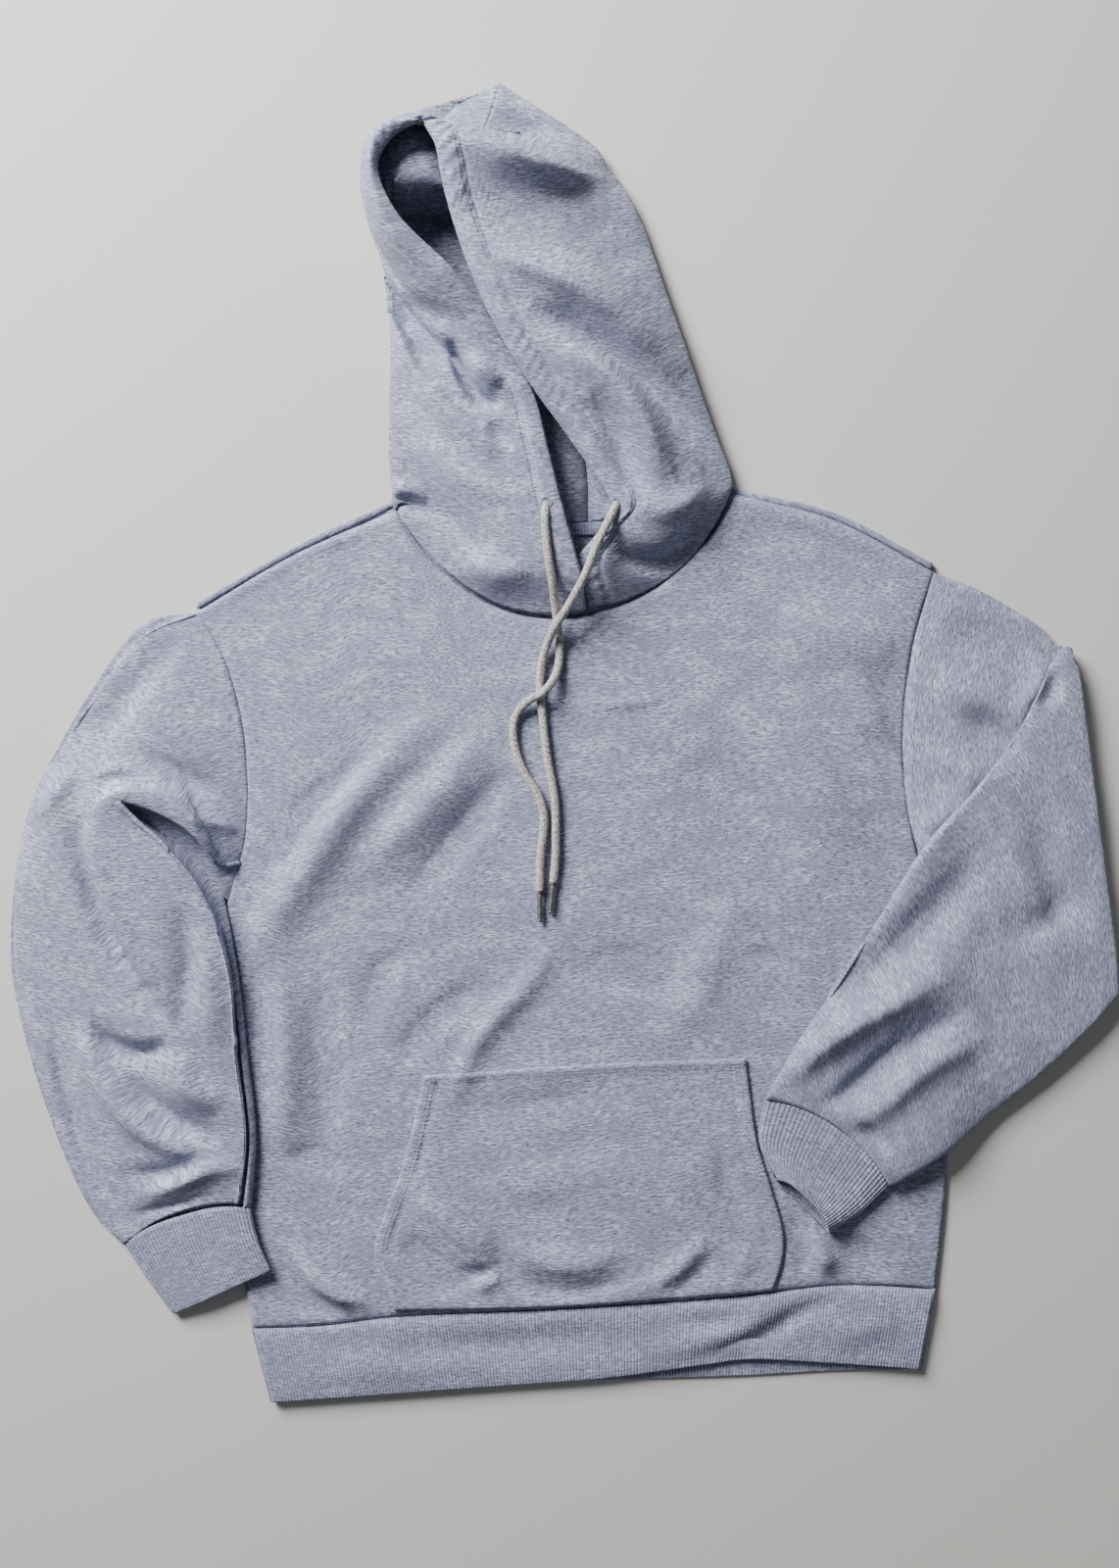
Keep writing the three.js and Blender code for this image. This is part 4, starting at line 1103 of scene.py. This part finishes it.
# %% Cuffs
def cuff_net(stations, seam_push, gape=0.0, rows=20, around=360):
    tracks = [smooth_line(np.array([s[k] for s in stations], float), rows) for k in (0, 1)]
    share = np.linspace(0, 1, len(tracks[0]))
    heights = np.interp(share, np.linspace(0, 1, len(stations)), [s[2] for s in stations])

    def ring(t, inset, beyond):
        a, b = (np.array([np.interp(t, share, track[:, k]) for k in range(3)]) for track in tracks)
        middle = (tracks[0] + tracks[1]) / 2
        out = middle[-1] - middle[-2]
        out = out / np.linalg.norm(out) * beyond
        high = np.interp(t, share, heights)
        oval = flat_oval(a + out, b + out, high, np.array([0, 0, 1.0]), around, inset)
        angle = np.linspace(0, 2 * math.pi, around + 1)
        middle_of = np.sin(angle) ** 2
        oval[:, :2] += middle_of[:, None] * np.array(seam_push) * (1 - t) ** 2
        top = np.clip(np.sin(angle), 0, 1) ** 1.5 * t ** 3
        back = middle[-1] - middle[-6]
        oval -= gape * top[:, None] * back / np.linalg.norm(back)
        oval[:, 2] += 0.5 * gape * top
        oval[:, 2] += 0.9 * np.sin(5 * angle + 1) * middle_of * t
        return oval

    return ribbed(band_net(ring, rows))


def lying(a, b, high, base_a=0.0, base_b=0.0):
    return [*a, base_a + high / 2], [*b, base_b + high / 2], high


left_cuff_net = cuff_net([
    lying((-357.6, -408.6), (-254, -376.6), 8.8, 0, 8.4),
    lying((-341, -434), (-248, -402), 8.8, 0, 8.4),
    lying((-319, -464), (-238, -426), 8.8, 0, 7.8),
], (-3, 10))
right_cuff_net = cuff_net([
    lying((161.8, -288.4), (261.8, -358.4), 8.8, 8.4, 8.4),
    lying((157, -322), (239, -380), 8.8, 8.4, 8.4),
    lying((170, -352), (214, -396), 12.8, 8.4, 8.4),
], (8, 12), gape=9.0)
for side, (net, middle) in (("left", left_cuff_net), ("right", right_cuff_net)):
    name = "cuff_" + side
    cuff = cloth(name, net, rib, RIB_THICK, turned=True, ring=middle)
    settle(cuff, [name])
    "sleeve_" + side

# %% [markdown]
# ## The hood
# The hood is two halves in one layer of fleece, joined by a seam over the crown. Each half's net
# starts in the casing along the face opening, where the cloth is folded round the drawcord, goes
# over the top layer to the outer fold and back underneath to the centre seam. Two rows of
# stitches press narrow grooves beside the casing, which puckers along its cord.

# %% Hood nets
crown_seam = [(-118, 510, 63), (-102, 509, 58), (-84, 503, 46), (-66, 501, 30), (-53, 537, 9), (-52, 526, 0),
              (-52, 512, 0)]
hood_right_rows = [
    [(19, 110, 9), (52, 117, 7), (88, 137, 7), (116, 167, 7.5), (134, 206, 8), (95, 196, 0), (19, 179, 0)],
    [(9, 146, 18), (48, 150, 26), (88, 168, 25), (118, 192, 20), (136, 214, 9), (92, 222, 0), (19, 212, 0)],
    [(24, 168, 26), (56, 178, 34), (92, 196, 31), (116, 214, 21), (132, 230, 9), (88, 240, 0), (16, 236, 0)],
    [(40, 192, 30), (66, 206, 39), (94, 226, 34), (112, 238, 22), (124, 250, 9), (82, 266, 0), (11, 264, 0)],
    [(6, 246, 36), (34, 262, 45), (66, 276, 42), (92, 286, 26), (110, 290, 9), (66, 314, 0), (-5, 312, 0)],
    [(-27, 292, 43), (0, 312, 51), (36, 330, 48), (72, 334, 28), (95, 334, 9), (50, 362, 0), (-21, 366, 0)],
    [(-57, 342, 50), (-28, 362, 58), (10, 378, 54), (48, 386, 30), (77, 386, 9), (34, 416, 0), (-37, 414, 0)],
    [(-81, 396, 54), (-52, 412, 62), (-14, 424, 54), (24, 432, 30), (59, 434, 9),
     (18, 460, 0), (-45, 454, 0)],
    [(-98, 450, 60), (-70, 456, 62), (-32, 452, 52), (4, 450, 32), (46, 456, 9), (-6, 486, 0), (-48, 476, 0)],
    [(-105, 486, 64), (-84, 492, 66), (-50, 484, 60), (-14, 472, 46), (36, 468, 9),
     (-8, 494, 0), (-49, 486, 0)],
    [(-111, 499, 65), (-92, 503, 60), (-56, 500, 34), (-16, 494, 20), (20, 490, 9),
     (-12, 504, 0), (-50, 496, 0)],
    crown_seam,
]
hood_left_rows = [
    [(18, 109, 14), (-17, 105, 9), (-60, 115, 7), (-104, 147, 7.5), (-137, 193, 8),
     (-90, 187, 0), (18, 179, 0)],
    [(13, 142, 30), (-20, 147, 33), (-62, 162, 28), (-108, 190, 20), (-141, 206, 9),
     (-92, 214, 0), (18, 216, 0)],
    [(0, 190, 32), (-30, 196, 35), (-70, 208, 31), (-114, 228, 20), (-143, 242, 9),
     (-94, 260, 0), (10, 264, 0)],
    [(-13, 242, 27), (-40, 250, 31), (-78, 258, 29), (-116, 268, 20), (-143, 276, 9),
     (-100, 308, 0), (-6, 312, 0)],
    [(-26, 290, 27), (-54, 298, 30), (-88, 306, 28), (-120, 312, 18), (-142, 318, 9),
     (-106, 356, 0), (-22, 366, 0)],
    [(-57, 343, 36), (-76, 342, 40), (-102, 346, 30), (-126, 354, 17), (-143, 362, 9),
     (-112, 402, 0), (-38, 414, 0)],
    [(-92, 388, 50), (-109, 378, 54), (-126, 374, 40), (-140, 384, 20), (-148, 396, 9), (-118, 440, 0),
     (-46, 454, 0)],
    [(-134, 430, 65), (-148, 422, 66), (-158, 422, 44), (-161, 428, 22), (-158, 438, 9), (-122, 470, 0),
     (-50, 486, 0)],
    [(-152, 468, 66), (-160, 472, 68), (-166, 476, 48), (-164, 482, 24), (-155, 492, 9), (-110, 496, 0),
     (-52, 500, 0)],
    [(-142, 494, 66), (-148, 504, 66), (-146, 508, 40), (-130, 512, 22), (-104, 514, 9), (-84, 516, 0),
     (-52, 508, 0)],
    crown_seam,
]
CASING = 19.0
CASING_ROLL = 3.0
CASING_BULGE = 3.2
STITCH_ROWS = (-1.8, 1.8)
GROOVE_DEEP = 1.1
PUCKER_PITCH = 11.0
PUCKER_DEEP = 0.6
hood_right_folds = [
    fold([(-88, 503), (-66, 495), (-28, 479), (2, 467), (24, 458)], 6.0, 6, 20),
    fold([(-96, 446), (-36, 430), (22, 412), (64, 384)], -5.0, 28, 30),
    fold([(-66, 402), (-24, 386), (28, 358), (70, 320), (96, 290)], 8.0, 18, 9),
    fold([(-34, 360), (8, 342), (42, 316), (82, 274), (108, 240)], -8.0, 10, 12),
    fold([(-8, 328), (28, 308), (55, 282), (74, 246), (88, 214)], 8.0, 10, 14),
    fold([(18, 286), (38, 260), (53, 228), (62, 200)], -7.0, 13),
    fold([(30, 176), (56, 152), (86, 150), (110, 178)], -7.0, 8, 10),
    fold([(60, 192), (92, 190), (122, 216)], 5.0, 11),
    fold([(-74, 520), (-48, 510), (-8, 498)], -5.0, 8),
]
hood_left_folds = [
    fold([(-118, 308), (-94, 268), (-48, 234)], 6.0, 9, 14),
    fold([(-136, 232), (-105, 192), (-55, 154)], -7.0, 13),
    fold([(-126, 258), (-92, 222), (-40, 190)], 4.0, 12),
    fold([(-96, 150), (-60, 136), (-24, 138)], 5.0, 12),
    fold([(-146, 192), (-130, 196), (-112, 188)], -4.0, 4.5, 4),
    fold([(-142, 204), (-128, 207), (-112, 199)], 3.5, 6, 5),
    *step_fold([(-158, 402), (-139, 376), (-116, 346), (-93, 327), (-82, 316)], (-5, -6), 4.0, 16.0, 3.4, 8),
    fold([(-95, 330), (-87, 312), (-80, 296), (-70, 284)], -16.0, 4.5),
    fold([(-131, 368), (-118, 340), (-106, 312)], -6.0, 11),
    fold([(-144, 372), (-134, 330), (-118, 296), (-96, 272)], 5.0, 6, 9),
    fold([(-79, 314), (-66, 302), (-52, 290)], 6.0, 7),
    fold([(-82, 290), (-66, 280), (-50, 276)], -7.0, 6),
    fold([(-62, 262), (-52, 250), (-40, 246)], -3.0, 7),
]
under_bulge = [fold([(-196, 452), (-150, 443), (-110, 438), (-50, 444)], 50.0, 80, 6)]
UNDER_STRETCHES = 2
STEPS_ACROSS = 28


def with_casing(net):
    """Adds the casing's bulge, stitch groove and puckers, and rolls its edge under."""
    step = np.linalg.norm(np.diff(net, axis=1), axis=-1)
    gone = np.concatenate([np.zeros((len(net), 1)), np.cumsum(step, axis=1)], 1)
    climb = lengths_along(net[:, 0])[:, None]
    pucker = np.sin(2 * math.pi * (climb - 0.5 * gone) / PUCKER_PITCH + 2.6 * np.sin(climb / 17))
    inside = np.clip(1 - gone / CASING, 0, 1)
    bulge = CASING_BULGE * np.sqrt(np.clip(1 - (2 * gone / CASING - 1) ** 2, 0, 1))
    groove = sum(-GROOVE_DEEP * np.exp(-(gone - CASING - side) ** 2) for side in STITCH_ROWS)
    strength = 0.55 + 0.45 * np.sin(climb / 31 + 1)
    crumple = PUCKER_DEEP * pucker * strength * np.sin(math.pi * inside ** 0.6) ** 0.5
    raised = net.copy()
    raised[..., 2] += (bulge + groove + crumple) * np.clip(climb / 12, 0, 1)
    inward = net[:, 3] - net[:, 0]
    inward[:, 2] = 0
    inward /= np.linalg.norm(inward, axis=1, keepdims=True)
    lip = []
    for angle in np.linspace(0, math.pi, 9)[:-1]:
        shift = inward * (CASING_ROLL * (1 - math.sin(angle)))
        drop = CASING_ROLL * (1 + math.cos(angle))
        row = raised[:, 0] + shift
        row[:, 2] -= drop
        lip.append(row)
    tail = lip[0] + inward * 10.0
    rolled_edge = np.stack([tail] + lip, 1)
    net = np.concatenate([rolled_edge, raised[:, 1:]], 1)
    net[..., 2] = np.maximum(net[..., 2], 0)
    return net, raised


def hood_half(name, rows, folds, turned, along):
    whole = smooth_net(drawn_in(rows), STEPS_ACROSS, along)
    last_on_top = (len(rows[0]) - 1 - UNDER_STRETCHES) * STEPS_ACROSS
    kept = [*range(last_on_top), *range(last_on_top, whole.shape[1], 4)]
    net = whole[:, kept]
    net[..., 2] = np.maximum(net[..., 2], 0)
    plain = net
    net = lift_top(net, folds, outward=-1.0 if turned else 1.0,
                   extra=0.6 * waves(seen(net), 60, 9), gain=1.9)
    to_crown = np.clip(np.arange(len(net))[::-1] / 12, 0, 1)[:, None, None]
    net = plain + (net - plain) * to_crown
    if turned:
        below = np.clip((np.array(kept) - last_on_top) / (UNDER_STRETCHES * STEPS_ACROSS), 0, 1)
        net[..., 2] += fold_field(seen(net), under_bulge) * np.sin(math.pi * below) ** 0.5
    cased, stitched = with_casing(net)
    made = cloth(name, cased, fleece, turned=turned, from_above=True)
    settle(made, [name])
    return stitched


right_hood_net = hood_half("hood_right", hood_right_rows, hood_right_folds, False, 22)
left_hood_net = hood_half("hood_left", hood_left_rows, hood_left_folds, True, 20)

# %% [markdown]
# ## The neck tape
# A narrow ribbed tape covers the back neck seam. It is a strip with small ribs across it.

# %% Neck tape
TAPE_WIDE = 11
TAPE_BASE, TAPE_CROWN, TAPE_RIB = 3.5, 0.8, 0.3
tape_line = even_line([(-60, 171), (18, 168), (90, 176)], 300)
tape_ribs = TAPE_RIB * np.abs(np.sin(math.pi * np.arange(len(tape_line)) / 4))
tape_rows = []
for t in np.linspace(0, 1, 8):
    high = TAPE_BASE + TAPE_CROWN * math.sin(math.pi * t) + tape_ribs
    tape_rows.append(np.stack([tape_line[:, 0], tape_line[:, 1] + TAPE_WIDE * t, high], -1))
neck_tape = cloth("neck_tape", np.stack(tape_rows), rib, 1.0)
settle(neck_tape, ["neck_tape"])

# %% [markdown]
# ## Stitching
# Thread shows beside the casings, round the buttonholes and along the pocket's top and openings.
# Each stitch is a small rounded bar. A seam's stitches are joined to one mesh, because one mesh is
# light to move and render.


# %% Rows of stitches
STITCH_LENGTH = 2.4
STITCH_PITCH = 3.2
STITCH_RADIUS = 0.35


def thread_material():
    recipe = Recipe("grey_thread")
    twist = recipe.node("ShaderNodeTexNoise", Vector=recipe.node(
        "ShaderNodeTexCoord", output=3), Scale=1500.0, Detail=1.0)
    color = recipe.blend(twist, (0.20, 0.21, 0.27, 1), (0.42, 0.43, 0.52, 1))
    return recipe.finish(color, 0.8, twist, 0.0003, Specular_IOR_Level=0.3)


thread = thread_material()


def stitches(name, lines, length=STITCH_LENGTH, pitch=STITCH_PITCH, radius=STITCH_RADIUS):
    """Joined stitches along lines of surface points in millimetres."""
    bm = bmesh.new()
    for line in lines:
        run = lengths_along(line)
        count = int(run[-1] / pitch)
        for k in range(count):
            ends = [np.array([np.interp((k + 0.5) * pitch + d, run, line[:, c]) for c in range(3)])
                    for d in (-length / 2, length / 2)]
            middle = Vector((ends[0] + ends[1]) / 2 * MM + PLACE)
            turn = Vector(ends[1] - ends[0]).to_track_quat("X", "Z").to_matrix().to_4x4()
            size = Matrix.Diagonal((length / 2 * MM, radius * MM, radius * MM, 1))
            bmesh.ops.create_icosphere(bm, subdivisions=1, radius=1.0,
                                       matrix=Matrix.Translation(middle) @ turn @ size)
    for face in bm.faces:
        face.smooth = True
    mesh = bpy.data.meshes.new(name)
    bm.to_mesh(mesh)
    bm.free()
    made = bpy.data.objects.new(name, mesh)
    made.data.materials.append(thread)
    bpy.context.scene.collection.objects.link(made)
    print(name, "has", len(mesh.polygons), "faces")
    return settle(made, [])


def line_inside(net, distance, from_end=False, rows=slice(None)):
    """The line on a net at a distance in from its first or last column."""
    part = net[rows, ::-1] if from_end else net[rows]
    line = []
    for row in part:
        run = lengths_along(row)
        line.append([np.interp(distance, run, row[:, c]) for c in range(3)])
    return np.array(line) + [0, 0, 0.15]


for side, net in (("right", right_hood_net), ("left", left_hood_net)):
    stitches(f"casing_stitches_{side}", [line_inside(net, CASING + d) + [0, 0, -1.0] for d in STITCH_ROWS])
for side, net, line in (("left", left_hood_net, left_line), ("right", right_hood_net, right_line)):
    faces_up = net[:, :3 * STEPS_ACROSS].reshape(-1, 3)
    nearest = faces_up[np.linalg.norm(faces_up[:, :2] - line[0, :2], axis=1).argmin()]
    turn = np.linspace(0, 2 * math.pi, 40)[:, None]
    loop = line[0] * [1, 1, 0] + 4.4 * (np.cos(turn) * [1, 0, 0] + np.sin(turn) * [0, 1, 0])
    loop[:, 2] = nearest[2] + 0.4
    stitches(f"buttonhole_{side}", [loop], 1.6, 1.3, 0.6)
    print("casing height at the", side, "buttonhole", nearest.round(1), "cord", line[0].round(1))
open_rows = slice(22, None)
stitches("pocket_stitches", [line_inside(pocket_net, d, end, open_rows)
                             for d in (6.6, 10.0) for end in (False, True)])
stitches("pocket_top_stitches", [pocket_net[-4] + [0, 0, 0.1]])

# %% [markdown]
# ## Floor and light
# A plain pale floor, a large soft light low at the upper left, which brings out the folds, a faint
# fill from the right and a weak sky from all sides.

# %% Floor and lights
FLOOR_DROP = 0.3
bm = bmesh.new()
bmesh.ops.create_grid(bm, x_segments=1, y_segments=1, size=6.0)
floor_mesh = bpy.data.meshes.new("floor")
bm.to_mesh(floor_mesh)
bm.free()
floor_mesh.transform(Matrix.Translation((0, 0, -FLOOR_DROP * MM)))
floor = bpy.data.objects.new("floor", floor_mesh)
bpy.context.scene.collection.objects.link(floor)
floor_recipe = Recipe("pale_floor")
floor.data.materials.append(floor_recipe.finish((0.62, 0.60, 0.57, 1), 0.8))
floor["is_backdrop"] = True


def soft_light(name, place, size, watts, color=(1, 1, 1)):
    data = bpy.data.lights.new(name, "AREA")
    data.size = size
    data.energy = watts
    data.color = color
    lamp = bpy.data.objects.new(name, data)
    lamp.location = place
    lamp.rotation_mode = "QUATERNION"
    lamp.rotation_quaternion = (-Vector(place)).to_track_quat("-Z", "Y")
    bpy.context.scene.collection.objects.link(lamp)


soft_light("key_upper_left", (-1.5, 1.7, 1.45), 1.3, 205, (1.0, 0.985, 0.97))
soft_light("fill_right", (2.2, -1.2, 2.2), 2.5, 6, (0.93, 0.96, 1.0))
world = bpy.data.worlds.new("soft_sky")
world.use_nodes = True
world.node_tree.nodes["Background"].inputs["Color"].default_value = (0.90, 0.94, 1.0, 1)
world.node_tree.nodes["Background"].inputs["Strength"].default_value = 0.1
bpy.context.scene.world = world

# %% [markdown]
# ## Finish
# The box of the finished garment is printed.

# %% The garment's box
low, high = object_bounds()
print("garment box", [round(v, 4) for v in low], [round(v, 4) for v in high])
